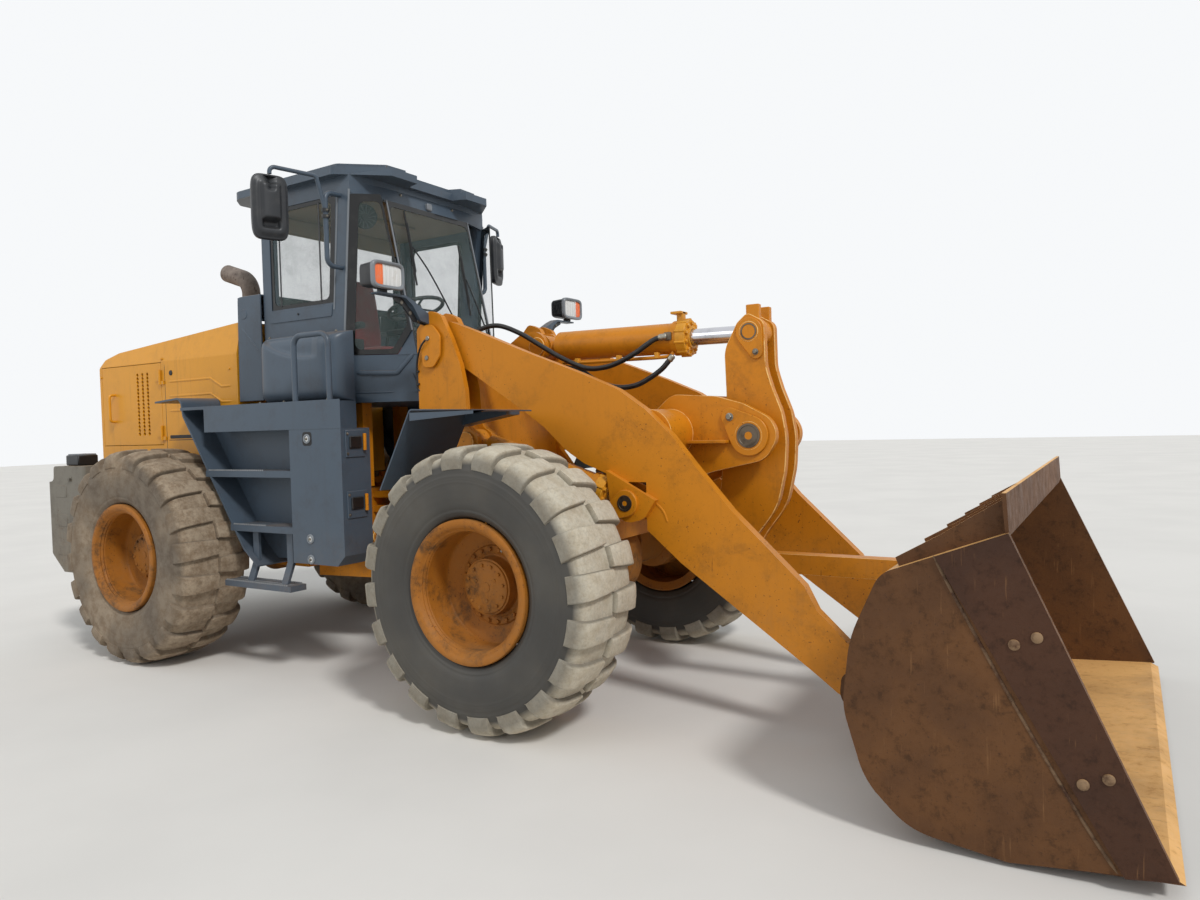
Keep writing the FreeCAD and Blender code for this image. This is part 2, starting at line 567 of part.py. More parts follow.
def bucket():
    back = [(BUCKET_TIP[0], BUCKET_TIP[1]), (4312, 21), (3960, 66, 260), (3790, 230, 300), (3706, 520, 300),
            (3740, 800, 500), (3862, 1070, 120), (4330, 1250)]
    inside = [(4330 - 8, 1250 - BUCKET_WALL), (3884, 1060, 100), (3764, 795, 480), (3732, 524, 280),
              (3812, 244, 280), (3972, 92, 240), (4312, 50), (BUCKET_TIP[0] - 40, 86)]
    shell = prism("y", back + inside, -BUCKET_HALF + SIDE_WALL, BUCKET_HALF - SIDE_WALL)
    side_outline = [(BUCKET_TIP[0] - 20, 84), (4312, 21), (3960, 66, 260), (3790, 230, 300), (3706, 520, 300),
                    (3740, 800, 500), (3862, 1070, 120), (4330, 1250)]
    sides = pair(prism("y", side_outline, -BUCKET_HALF, -BUCKET_HALF + SIDE_WALL + 0.5))
    cutter = pair(prism("y", [(4073, 1151), (4330, 1250), (BUCKET_TIP[0] - 20, 84), (4683, 60)],
                        -BUCKET_HALF - CUTTER_WALL, -BUCKET_HALF + 1))
    guard = prism("y", [(4318, 1236), (4330, 1250), (4322, 1395), (4306, 1395)], -BUCKET_HALF + 10, BUCKET_HALF - 10)
    ribs = []
    for i in range(GUARD_RIBS):
        y = (i / (GUARD_RIBS - 1) - 0.5) * 2 * (BUCKET_HALF - 60)
        ribs.append(prism("y", [(3930, 1090), (3915, 1130), (4080, 1225, 60), (4308, 1370), (4318, 1240)],
                          y - 9, y + 9))
    ears = []
    for y in (-EAR_OUT, EAR_IN):
        ears.append(prism("y", [(3735, 560), (3700, 690), (3600, 800, 60), (3625, 905, 70), (3720, 925, 80),
                                (3830, 1010), (3800, 700)], y, y + EAR_OUT - EAR_IN))
    for side in (-1, 1):
        for gap in (-1, 1):
            y = side * ARM_MID + gap * (ARM_MID - ARM_IN + 30 + MOVE_GAP + 20)
            ears.append(prism("y", [(3725, 600), (3640, 470, 60), (3470, 400, 60), (3455, 250, 90), (3600, 200, 90),
                                    (3720, 330), (3800, 400), (3780, 640)], y - 18, y + 18))
    body = joined(shell, sides, cutter, guard, *ribs, *ears)
    body = body.cut(pin(BUCKET_PIVOT, PIN_R + RUNNING_FIT, -900, 900))
    body = body.cut(pin(BUCKET_TOP, PIN_R + 60, -EAR_IN, EAR_IN))
    emit("bucket", body.cut(pin(BUCKET_TOP, PIN_R + RUNNING_FIT, -EAR_OUT - 5, EAR_OUT + 5)))
    reach = ARM_MID - ARM_IN + 30 + MOVE_GAP + 38
    pins = joined(pin(BUCKET_PIVOT, PIN_R, -ARM_MID - reach - 3, -ARM_MID + reach + 3),
                  pin(BUCKET_PIVOT, PIN_R + 18, -ARM_MID - reach - 14, -ARM_MID - reach - 0.5))
    emit("bucket_pins", both(pins))


# Cylinders

def cylinder(base, eye, plane, barrel_r, barrel, rod_r, eye_half, far_half, closing):
    """Barrel and rod of a cylinder in the XZ plane; closing is how far the rod still goes in."""
    run = hypot(eye[0] - base[0], eye[1] - base[1])
    ux, uz = (eye[0] - base[0]) / run, (eye[1] - base[1]) / run

    def at(distance):
        return (base[0] + ux * distance, plane, base[1] + uz * distance)

    start = EYE_R + 46
    eye_r = EYE_R - 6
    body = joined(rod(at(start), at(barrel), barrel_r), rod(at(0), at(start + 2), eye_half * 0.9),
                  rod(at(barrel - 90), at(barrel), barrel_r + 12),
                  pin(base, eye_r, plane - eye_half, plane + eye_half))
    body = body.cut(pin(base, PIN_R + RUNNING_FIT, plane - 300, plane + 300))
    body = body.cut(rod(at(start + CYLINDER_END), at(barrel + 20), rod_r + RUNNING_FIT))
    bar = joined(rod(at(start + CYLINDER_END + closing + MOVE_GAP), at(run - eye_r / 2), rod_r),
                 pin(eye, eye_r, plane - far_half, plane + far_half))
    return body, bar


def cylinders():
    eye_half = (ARM_OUT - ARM_IN) / 2 - 1
    base_half = (TOWER_OUT - TOWER_IN - TOWER_PLATE - FRAME_PLATE) / 2 - MOVE_GAP
    body, bar = cylinder(LIFT_BASE, LIFT_EYE, -ARM_MID, LIFT_BARREL_R, LIFT_BARREL, LIFT_ROD_R,
                         base_half, eye_half, 0)
    for word, side in SIDES:
        emit("lift_barrel_" + word, on_side(body, side))
        emit("lift_rod_" + word, on_side(bar, side))
    body, bar = cylinder(TILT_BASE, ROCKER_TOP, 0, TILT_BARREL_R, TILT_BARREL, TILT_ROD_R,
                         TILT_EAR_IN - MOVE_GAP, ROCKER_IN - MOVE_GAP, TILT_CLOSING)
    emit("tilt_barrel", body)
    emit("tilt_rod", bar)
    base, eye = V(STEER_BASE[0], -STEER_BASE[1], STEER_Z), V(STEER_EYE[0], -STEER_EYE[1], STEER_Z)
    run = (eye - base).Length
    u = (eye - base).normalize()
    low, high = STEER_Z - 40, STEER_Z + 40
    barrel = joined(rod(tuple(base + u * 70), tuple(base + u * (70 + STEER_BARREL)), STEER_BARREL_R),
                    rod(tuple(base), tuple(base + u * 72), 30), post(base.x, base.y, 42, low, high))
    barrel = barrel.cut(post(base.x, base.y, 20 + RUNNING_FIT, low - 5, high + 5))
    inner = 70 + CYLINDER_END
    barrel = barrel.cut(rod(tuple(base + u * inner), tuple(base + u * (80 + STEER_BARREL)), STEER_ROD_R + RUNNING_FIT))
    steer_rod = joined(rod(tuple(base + u * (inner + STEER_CLOSING + MOVE_GAP)), tuple(eye - u * 20), STEER_ROD_R),
                       post(eye.x, eye.y, 42, low, high),
                       post(eye.x, eye.y, 20, STEER_Z - 45.7, STEER_Z + 45.7))
    for word, side in SIDES:
        emit("steer_barrel_" + word, on_side(barrel, side))
        emit("steer_rod_" + word, on_side(steer_rod, side))


# Rear frame

def rear_frame():
    rail = prism("y", [(-760, 640), (-760, 1300), (-1250, 1240, 80), (-2600, 1240), (-2600, 760), (-2250, 760),
                       (-2080, 990, 60), (-1230, 990, 60), (-1150, 640)], -RAIL_Y - RAIL_PLATE, -RAIL_Y)
    rails = pair(rail)
    wall = box(REAR_WALL_X - 40, REAR_WALL_X, -RAIL_Y - 10, RAIL_Y + 10, 640, 1300)
    neck = pair(prism("z", [(-770, -318), (-770, -268), (REAR_NECK_X, -NECK_HALF + 50), (REAR_NECK_X, -NECK_HALF)],
                      560, 1250))
    nose = box(REAR_NECK_X - 40, REAR_NECK_X, -NECK_HALF - 2, NECK_HALF + 2, 560, 1250)
    lugs = []
    for level in HINGE_LEVELS:
        for low in (level - HINGE_LUG * 1.5 - MOVE_GAP, level + HINGE_LUG / 2 + MOVE_GAP):
            plate = prism("z", [(REAR_NECK_X - 30, -220), (HINGE_LUG_R, -HINGE_LUG_R, HINGE_LUG_R - 1),
                                (HINGE_LUG_R, HINGE_LUG_R, HINGE_LUG_R - 1), (REAR_NECK_X - 30, 220)],
                          low, low + HINGE_LUG)
            lugs.append(plate.cut(post(0, 0, HINGE_PIN_R + RUNNING_FIT, low - 5, low + HINGE_LUG + 5)))
    ears = []
    for low in (STEER_Z - 75, STEER_Z + 45):
        ear = prism("z", [(-765, -250), (-765, -400), (STEER_BASE[0] + 45, -STEER_BASE[1] - 45, 44),
                          (STEER_BASE[0] + 45, -STEER_BASE[1] + 45, 44), (-560, -230)], low, low + 30)
        ears.append(pair(ear.cut(post(STEER_BASE[0], -STEER_BASE[1], 20 + RUNNING_FIT, low - 5, low + 35))))
    cradle = []
    for x in (-AXLE_X + 340, -AXLE_X - 380):
        hang = prism("x", [(-RAIL_Y - 5, 1000), (-RAIL_Y - 5, 1230), (RAIL_Y + 5, 1230), (RAIL_Y + 5, 1000),
                           (190, 660, 80), (-190, 660, 80)], x, x + TRUNNION_PLATE)
        cradle.append(hang.cut(rod((x - 5, 0, AXLE_Z), (x + TRUNNION_PLATE + 5, 0, AXLE_Z),
                                   TRUNNION_R + RUNNING_FIT)))
    outer = CAB_STAND_Y
    shelf = pair(box(REAR_WALL_X, 30, -outer, -outer + 90, 1290, 1340))
    outrigger = pair(box(REAR_WALL_X - 40, REAR_WALL_X, -outer, -RAIL_Y, 1240, 1340))
    posts = [pair(box(x, x + 90, -outer, -outer + 90, 1335, CAB_LOW - CAB_WALL)) for x in (-700, -60)]
    feet = pair(box(-700, -610, -outer + 60, -RAIL_Y, 1200, 1300))
    frame = joined(rails, wall, neck, nose, *lugs, *ears, *cradle, shelf, outrigger, feet, *posts)
    frame = frame.cut(rod((-850, 0, AXLE_Z), (REAR_NECK_X + 20, 0, AXLE_Z), 110))
    emit("rear_frame", frame)
    pins = []
    reach = HINGE_LUG * 1.5 + MOVE_GAP
    for level, up in zip(HINGE_LEVELS, (-1, 1)):
        head = sorted((level + up * reach, level + up * (reach + 16)))
        pins.append(joined(post(0, 0, HINGE_PIN_R, level - reach - 2, level + reach + 2),
                           post(0, 0, HINGE_PIN_R + 22, *head)))
    x, y = STEER_BASE[0], -STEER_BASE[1]
    pins.append(both(joined(post(x, y, 20, STEER_Z - 77, STEER_Z + 77), post(x, y, 32, STEER_Z + 75.3, STEER_Z + 84))))
    emit("hinge_pins", Part.makeCompound(pins))


def counterweight():
    plan = [(REAR_X, -930), (REAR_X + 90, -WEIGHT_Y, 60), (-2500, -WEIGHT_Y, 30), (-2500, -620), (-2600, -600),
            (-2600, 600), (-2500, 620), (-2500, WEIGHT_Y, 30), (REAR_X + 90, WEIGHT_Y, 60), (REAR_X, 930)]
    block = prism("z", plan, 580, WEIGHT_TOP)
    side = prism("y", [(REAR_X, 832), (REAR_X + 30, 1326, 30), (-2960, 1345, 40), (-2950, WEIGHT_TOP, 30),
                       (-2490, WEIGHT_TOP), (-2490, 590), (-2848, 589)], -WEIGHT_Y - 10, WEIGHT_Y + 10)
    block = block.common(side)
    block = block.cut(box(REAR_X - 10, -2480, -HOOD_Y - 8, HOOD_Y + 8, WEIGHT_POCKET, WEIGHT_TOP + 10))
    groove = box(REAR_X - 10, TOW_X + 90, -110, 110, TOW_Z - 140, WEIGHT_TOP)
    block = block.cut(groove)
    for low in (TOW_Z - TOW_GAP / 2 - TOW_PLATE, TOW_Z + TOW_GAP / 2):
        plate = prism("z", [(TOW_X + 95, -112), (TOW_X - 65, -70, 60), (TOW_X - 65, 70, 60), (TOW_X + 95, 112)],
                      low, low + TOW_PLATE)
        block = block.fuse(plate.cut(post(TOW_X, 0, TOW_BORE_R, low - 5, low + TOW_PLATE + 5)))
    emit("counterweight", block.removeSplitter())


def hood_profile(inset):
    """Hood seen from the side, its wall moved in by inset."""
    low = WEIGHT_POCKET - (30 if inset else 0)
    return [(HOOD_REAR + inset, low), (HOOD_REAR + inset, 2300 - inset, 40), (-2940 + inset, 2373 - inset, 60),
            (-2740, 2423 - inset, 200), (-1855, 2493 - inset, 900), (HOOD_FRONT - inset, 2558 - inset),
            (HOOD_FRONT - inset, low)]


def hood_section(inset):
    """Hood seen from behind: shoulders slope in above the doors."""
    edge = HOOD_Y - inset
    low = WEIGHT_POCKET - (40 if inset else 0)
    return [(-edge, low), (-edge, 2310, 60), (-edge + 70, 2640), (edge - 70, 2640), (edge, 2310, 60), (edge, low)]


def grille(x0, x1, z0, z1, columns, rows, side_y, depth):
    """Rows of six-sided holes through a side panel."""
    holes = []
    for i in range(columns):
        for j in range(rows):
            x = x0 + (x1 - x0) * (i + 0.5) / columns
            z = z0 + (z1 - z0) * (j + 0.5) / rows
            corners = [(x + GRILLE_HOLE_R * cos(pi * k / 3), z + GRILLE_HOLE_R * sin(pi * k / 3)) for k in range(6)]
            holes.append(prism("y", corners, side_y, side_y + depth))
    return holes


def hood():
    outer = prism("y", hood_profile(0), -HOOD_Y, HOOD_Y).common(
        prism("x", hood_section(0), HOOD_REAR - 5, HOOD_FRONT + 5))
    inner = prism("y", hood_profile(HOOD_WALL), -HOOD_Y + HOOD_WALL, HOOD_Y - HOOD_WALL).common(
        prism("x", hood_section(HOOD_WALL), HOOD_REAR, HOOD_FRONT))
    shell = outer.cut(inner)
    rear_hole = box(HOOD_REAR - 10, HOOD_REAR + HOOD_WALL + 10, -GRILLE_Y, GRILLE_Y, 1500, 2240)
    shell = shell.cut(rear_hole)
    gap = 5
    for side in (-1, 1):
        low, high = sorted((side * (HOOD_Y - HOOD_WALL - 4), side * (HOOD_Y + 10)))
        shell = shell.cut(box(DOOR_REAR - gap, DOOR_FRONT + gap, low, high, DOOR_LOW - gap, DOOR_HIGH + gap))
    shell = shell.cut(post(PIPE_X, PIPE_Y, PIPE_R + 8, 2300, 2700))
    cap = joined(post(-1930, -200, 60, 2450, 2560), post(-1930, -200, 105, 2555, 2600))
    shell = joined(shell, cap.cut(inner))
    x, y = HOOD_DOOR_HINGE[0], -HOOD_DOOR_HINGE[1]
    for z in DOOR_HINGE_LEVELS:
        socket = joined(post(x, y, 11, z - 30, z - SEAT_GAP), box(x + 8, x + 50, y, -HOOD_Y + 1, z - 30, z - SEAT_GAP))
        shell = shell.fuse(socket).fuse(mirrored(socket))
    emit("hood", shell.removeSplitter())
    door = box(DOOR_REAR, DOOR_FRONT, -HOOD_Y, -HOOD_Y + HOOD_WALL, DOOR_LOW, DOOR_HIGH)
    door = door.cut(Part.makeCompound(grille(-2475, -2260, 1700, 2230, 3, 17, -HOOD_Y - 5, HOOD_WALL + 10)))
    handle = tube([(-2790, -HOOD_Y + 5, 1830), (-2790, -HOOD_Y - 50, 1830), (-2790, -HOOD_Y - 50, 2060),
                   (-2790, -HOOD_Y + 5, 2060)], 11, 25)
    x, y = HOOD_DOOR_HINGE[0], -HOOD_DOOR_HINGE[1]
    knuckles = [post(x, y, 11, z, z + 90) for z in DOOR_HINGE_LEVELS]
    leaves = [box(x - 58, x, y, y + 13, z, z + 90) for z in DOOR_HINGE_LEVELS]
    door = joined(door, handle, *knuckles, *leaves)
    for word, side in SIDES:
        emit("hood_door_" + word, on_side(door, side))
    frame = box(HOOD_REAR, HOOD_REAR + 30, -GRILLE_Y, GRILLE_Y, 1500, 2240)
    frame = frame.cut(box(HOOD_REAR - 5, HOOD_REAR + 35, -GRILLE_Y + 40, GRILLE_Y - 40, 1540, 2200))
    slats = []
    for i in range(11):
        z = 1562 + i * 59
        slats.append(prism("y", [(HOOD_REAR + 2, z), (HOOD_REAR + 26, z + 24), (HOOD_REAR + 26, z + 30),
                                 (HOOD_REAR + 2, z + 6)], -GRILLE_Y + 30, GRILLE_Y - 30))
    core = box(HOOD_REAR + 70, HOOD_REAR + 190, -GRILLE_Y + 20, GRILLE_Y - 20, 1450, 2250)
    ties = [box(HOOD_REAR + 25, HOOD_REAR + 75, y - 12, y + 12, 1600, 1640) for y in (-GRILLE_Y + 34, GRILLE_Y - 34)]
    feet = [box(HOOD_REAR + 80, HOOD_REAR + 180, y - 40, y + 40, WEIGHT_POCKET, 1455) for y in (-500, 500)]
    emit("rear_grille", joined(frame, core, *slats, *ties, *feet))
    mounts = [pair(box(x, x + 120, -RAIL_Y - 30, -300, RAIL_TOP, RAIL_TOP + 50)) for x in (-2400, -1700)]
    emit("engine_block", joined(box(-2500, -1400, -310, 310, RAIL_TOP, 1900),
                                box(-2400, -1400, -330, 230, 1895, ENGINE_TOP), *mounts))


def exhaust():
    """Pipe from the engine through the hood, its tip bent back."""
    pipe = tube([(PIPE_X, PIPE_Y, ENGINE_TOP), (PIPE_X, PIPE_Y, 2960), (PIPE_X - 300, PIPE_Y, 3060)], PIPE_R, 150)
    bore = tube([(PIPE_X, PIPE_Y, 2700), (PIPE_X, PIPE_Y, 2960), (PIPE_X - 330, PIPE_Y, 3070)], PIPE_R - 8, 150)
    emit("exhaust", pipe.cut(bore))


def transmission():
    case = joined(box(-1180, -820, -240, 240, 700, 1180), box(-1080, -840, -200, 200, 1170, 1400),
                  rod((-1200, 0, AXLE_Z), (-1179, 0, AXLE_Z), 70),
                  rod((-821, 0, AXLE_Z), (0, 0, AXLE_Z), SHAFT_R),
                  Part.makeSphere(JOINT_BALL_R, V(0, 0, AXLE_Z)),
                  rod((-1250, 0, AXLE_Z), (-1190, 0, AXLE_Z), SHAFT_R),
                  box(-1120, -880, -RAIL_Y, RAIL_Y, 1150, 1190))
    emit("transmission", case)


# Decks, tanks and steps

def tower_sweep(gap, low, high):
    """Space that the right-hand tower passes through up to full lock, with a gap round it."""
    back, out = TOWER_BACK - gap, TOWER_OUT + gap
    reach = hypot(back, out)
    end = reach * cos(atan2(out, back) + radians(STEER_LIMIT))
    turning = post(0, 0, reach, low, high).common(box(end, reach, -reach, 0, low, high))
    locked = box(back, 2 * reach, -out, 0, low, high)
    locked.rotate(V(), V(0, 0, 1), -STEER_LIMIT)
    return turning.fuse(locked)


def side_unit():
    """Right-hand deck with the box below it, the steps and the rear fender."""
    skin = DECK_SKIN
    top = DECK_TOP
    low = top - DECK_DEPTH
    tray = box(DECK_REAR, DECK_FRONT, -DECK_Y, -DECK_IN, low, top).cut(tower_sweep(SWEEP_GAP, low - 5, top + 5))
    inside = box(DECK_REAR + skin, DECK_FRONT - skin, -DECK_Y + skin, -DECK_IN - skin, low - 5, top - skin)
    tray = tray.cut(inside.cut(tower_sweep(SWEEP_GAP + skin, low - 10, top)))
    tank = box(TANK_REAR, TANK_FRONT, -DECK_Y + 2, -TANK_IN, TANK_LOW, top - DECK_DEPTH)
    tank = tank.cut(prism("y", [(TANK_FRONT + 10, TANK_LOW - 10), (TANK_FRONT + 10, TANK_LOW + 80),
                                (TANK_FRONT - 80, TANK_LOW - 10)], -1200, 0))
    tank = tank.fuse(box(TANK_REAR, TANK_REAR + 150, -TANK_IN - 1, -CAB_STAND_Y, 1290, 1340))
    shift = 40
    plate = [(-1660, 1959), (-1330, 1981, 60), (-1374 + shift + 30, 1842), (-692 + shift, 847 + shift),
             (-508, 766)]
    lower = [(-512, 756), (-702 + shift, 836 + shift), (-1386 + shift + 30, 1836), (-1342, 1966, 50), (-1660, 1946)]
    fender = prism("y", plate + lower, -DECK_Y, -FENDER_IN)
    back = prism("y", [(-1240, top - DECK_DEPTH), (-1340, 1880), (-1060, 1880), (TANK_REAR + 2, top - DECK_DEPTH),
                       (TANK_REAR + 2, TANK_LOW), (-560, 790), (-660, 860)], -STEP_IN, -STEP_IN + 10)
    steps = []
    for z in (1432, 1048):
        steps.append(box(-1060 + (1432 - z) * 0.69, TANK_REAR + 2, -DECK_Y + 2, -STEP_IN, z - 45, z))
    low_step = box(-780, -80, -DECK_Y - 70, -DECK_Y + 60, STEP_LOW, STEP_LOW + 40)
    straps = []
    for x in (-600, -240):
        straps.append(prism("x", [(-DECK_Y - 20, STEP_LOW + 30), (-DECK_Y + 2, STEP_LOW + 30),
                                  (-DECK_Y + 60, 790), (-DECK_Y + 60, 1010), (-DECK_Y + 40, 1010),
                                  (-DECK_Y + 40, 800)], x, x + 60))
    shelf = box(-600, -180, -DECK_Y + 20, -STEP_IN, 1000, 1010)
    unit = joined(tray, tank, fender, back, *steps, low_step, *straps, shelf,
                  box(-1340, DECK_REAR + 5, -DECK_Y, -FENDER_IN, 1880, 1902),
                  box(DECK_REAR + 300, DECK_REAR + 380, -DECK_IN - 5, -560, 1760, 1800))
    return unit


def decks():
    for word, side in SIDES:
        emit("side_unit_" + word, on_side(side_unit(), side))


# Cab

def slope(z, low, high):
    """Place between two values as z goes from the sill to the top of the glass."""
    return low + (high - low) * (z - SILL_FRONT) / (CAB_TOP - SILL_FRONT)


def nose_x(z):
    """Windscreen plane at a height."""
    return slope(z, 460.0, 200.0)


def pillar_x(z):
    """Front edge of the middle pillar at a height."""
    return slope(z, 40.0, 150.0)


def faceted(lower, upper):
    """Solid between two level outlines of as many points, with flat sides."""
    count = len(lower)
    faces = [Part.Face(Part.makePolygon(ring + ring[:1])) for ring in (lower, upper)]
    for i in range(count):
        a, b = lower[i], lower[(i + 1) % count]
        c, d = upper[(i + 1) % count], upper[i]
        flat = abs((b - a).cross(d - a).normalize().dot(c - a)) < 1e-6
        corners = [[a, b, c, d]] if flat else [[a, b, c], [a, c, d]]
        faces += [Part.Face(Part.makePolygon(ring + ring[:1])) for ring in corners]
    solid = Part.Solid(Part.Shell(faces))
    if solid.Volume < 0:
        solid.reverse()
    return solid


def front_band(low, high, thick, inset):
    """Three-sided front of the cab between two heights, thick inwards from inset."""
    rings = []
    for z in (low, high):
        nose = nose_x(z) - inset
        side = pillar_x(z)
        y = CAB_Y - inset
        nose_y = NOSE_Y - inset * 0.6
        outer = [V(side, -y, z), V(nose, -nose_y, z), V(nose, nose_y, z), V(side, y, z)]
        inner = [V(side, y - thick * 1.3, z), V(nose - thick, nose_y - thick * 0.6, z),
                 V(nose - thick, -nose_y + thick * 0.6, z), V(side, -y + thick * 1.3, z)]
        rings.append(outer + inner)
    return faceted(*rings)


def cab():
    floor = prism("z", [(CAB_REAR, -CAB_Y), (CAB_REAR, CAB_Y), (pillar_x(CAB_LOW), CAB_Y),
                        (nose_x(CAB_LOW), NOSE_Y), (nose_x(CAB_LOW), -NOSE_Y), (pillar_x(CAB_LOW), -CAB_Y)],
                  CAB_LOW - CAB_WALL, CAB_LOW + CAB_WALL)
    front = front_band(CAB_LOW, SILL_FRONT, CAB_WALL, 0)
    header = front_band(CAB_TOP - 70, CAB_TOP + 20, CAB_WALL + 20, 0)
    pieces = [floor, front, header]
    for side in (-1, 1):
        y0, y1 = sorted((side * CAB_Y, side * (CAB_Y - 70)))
        pieces.append(prism("y", [(pillar_x(CAB_LOW) - 110, CAB_LOW), (pillar_x(CAB_LOW), CAB_LOW),
                                  (pillar_x(CAB_TOP), CAB_TOP + 20), (pillar_x(CAB_TOP) - 130, CAB_TOP + 20)], y0, y1))
        pieces.append(box(CAB_REAR, CAB_REAR + 90, y0, y1, CAB_LOW, CAB_TOP + 20))
        pieces.append(box(CAB_REAR, pillar_x(CAB_TOP), y0, y1, CAB_TOP - 60, CAB_TOP + 20))
    pieces.append(box(CAB_REAR, CAB_REAR + CAB_WALL, -CAB_Y, CAB_Y, CAB_LOW, 2500))
    pieces.append(box(CAB_REAR, CAB_REAR + 60, -CAB_Y, CAB_Y, CAB_TOP - 60, CAB_TOP + 20))
    pieces.append(box(CAB_REAR + 60, pillar_x(CAB_LOW) - 60, -CAB_Y, -CAB_Y + CAB_WALL, CAB_LOW, SILL_SIDE))
    x, y = CAB_DOOR_HINGE
    for z in CAB_HINGE_LEVELS:
        pieces.append(joined(post(x, y, 13, z - 40, z - SEAT_GAP), box(x - 60, x - 12, CAB_Y - 1, y, z - 40, z - SEAT_GAP)))
    emit("cab_shell", joined(*pieces))
    plan = [(-1140, -640, 60), (-1010, -770, 120), (60, -795, 60), (360, -520, 20), (360, -270), (250, -235),
            (250, 235), (360, 270), (360, 520, 20), (60, 795, 60), (-1010, 770, 120), (-1140, 640, 60)]
    inset = [(-1060, -590, 60), (-960, -690, 120), (20, -710, 60), (270, -480, 20), (280, -300), (190, -260),
             (190, 260), (280, 300), (270, 480, 20), (20, 710, 60), (-960, 690, 120), (-1060, 590, 60)]
    roof = joined(prism("z", plan, CAB_TOP + 60, ROOF_TOP - 45), prism("z", inset, ROOF_TOP - 46, ROOF_TOP),
                  prism("z", [(CAB_REAR, -CAB_Y), (CAB_REAR, CAB_Y), (pillar_x(CAB_TOP), CAB_Y),
                              (nose_x(CAB_TOP), NOSE_Y), (nose_x(CAB_TOP), -NOSE_Y), (pillar_x(CAB_TOP), -CAB_Y)],
                        CAB_TOP + 20, CAB_TOP + 61))
    emit("cab_roof", roof)
    panes = [front_band(SILL_FRONT, CAB_TOP - 70, GLASS, 6).cut(
        Part.makeCompound([box(-200, 600, -CAB_Y - 10, -CAB_Y + 5, 2000, 3500),
                           box(-200, 600, CAB_Y - 5, CAB_Y + 10, 2000, 3500)]))]
    panes.append(box(CAB_REAR + 90, pillar_x(SILL_SIDE) - 125, -CAB_Y + 10, -CAB_Y + 10 + GLASS,
                     SILL_SIDE, CAB_TOP - 60))
    panes.append(box(CAB_REAR + 12, CAB_REAR + 12 + GLASS, -CAB_Y + 70, CAB_Y - 70, 2500, CAB_TOP - 60))
    emit("cab_glass", Part.makeCompound(panes))
    side_box = box(-705, 135, -900, -CAB_Y, DECK_TOP, 2390)
    edges = [e for e in side_box.Edges if e.CenterOfMass.y < -899 or (e.CenterOfMass.z > 2380)]
    side_box = side_box.makeFillet(60, [e for e in edges if e.CenterOfMass.y < -899])
    emit("side_box", side_box)


def cab_door():
    """Left-hand door from the rear pillar to the middle pillar."""
    gap = MOVE_GAP
    rear = CAB_REAR + 90 + gap
    low = CAB_LOW + CAB_WALL + gap
    high = CAB_TOP - 60 - gap
    frame = prism("y", [(rear, low), (rear, high), (pillar_x(high) - 130 - gap, high),
                        (pillar_x(low) - 112 - gap, low)], CAB_Y - CAB_WALL, CAB_Y)
    window = prism("y", [(rear + 60, 2420), (rear + 60, high - 60, 40), (pillar_x(high) - 195 - gap, high - 60, 40),
                         (pillar_x(2420) - 175 - gap, 2420)], CAB_Y - CAB_WALL - 5, CAB_Y + 5)
    x, y = CAB_DOOR_HINGE
    knuckles = [post(x, y, 13, z, z + 100) for z in CAB_HINGE_LEVELS]
    leaves = [box(x - 4, x + 64, CAB_Y - 1, y - 2, z, z + 100) for z in CAB_HINGE_LEVELS]
    handle = joined(box(-190, -90, CAB_Y - 1, CAB_Y + 8, 2330, 2370), box(-190, -170, CAB_Y + 7, CAB_Y + 30, 2335, 2365),
                    box(-190, -90, CAB_Y + 22, CAB_Y + 32, 2335, 2365))
    emit("cab_door", joined(frame.cut(window), handle, *knuckles, *leaves))
    pane = prism("y", [(rear + 60, 2420), (rear + 60, high - 60, 40), (pillar_x(high) - 195 - gap, high - 60, 40),
                       (pillar_x(2420) - 175 - gap, 2420)], CAB_Y - 20, CAB_Y - 20 + GLASS)
    emit("cab_door_glass", pane)


def cab_inside():
    floor = CAB_LOW + CAB_WALL
    base = box(-560, -120, -200, 200, floor, floor + 280)
    cushion = box(-600, -60, -240, 240, floor + 280, floor + 400)
    back = prism("y", [(-600, floor + 400), (-480, floor + 400), (-560, floor + 980, 50), (-690, floor + 980, 50)],
                 -230, 230)
    arms = pair(box(-560, -200, -320, -250, floor + 520, floor + 570))
    posts = pair(box(-560, -500, -300, -225, floor + 400, floor + 530))
    emit("driver_seat", joined(base, cushion, back, arms, posts))
    column = joined(box(150, 330, -200, 200, floor, floor + 180), rod((230, 0, floor + 100), (60, 0, floor + 640), 38))
    axis = V(60 - 230, 0, 540).normalize()
    centre = V(60, 0, floor + 640) + axis * 30
    ring = Part.makeTorus(210, 15, centre, axis)
    spokes = []
    for i in range(3):
        turn = 2 * pi * i / 3
        across = axis.cross(V(0, 1, 0))
        out = V(0, 1, 0) * (210 * cos(turn)) + across * (210 * sin(turn))
        spokes.append(rod(tuple(centre), tuple(centre + out), 9))
    hub = Part.makeCylinder(45, 60, V(60, 0, floor + 640) - axis * 10, axis)
    side = joined(box(-560, -120, -560, -380, floor, floor + 420),
                  rod((-260, -470, floor + 415), (-230, -470, floor + 620), 12),
                  rod((-340, -500, floor + 415), (-320, -500, floor + 600), 12))
    emit("cab_controls", Part.makeCompound([joined(column, ring, hub, *spokes), side]))


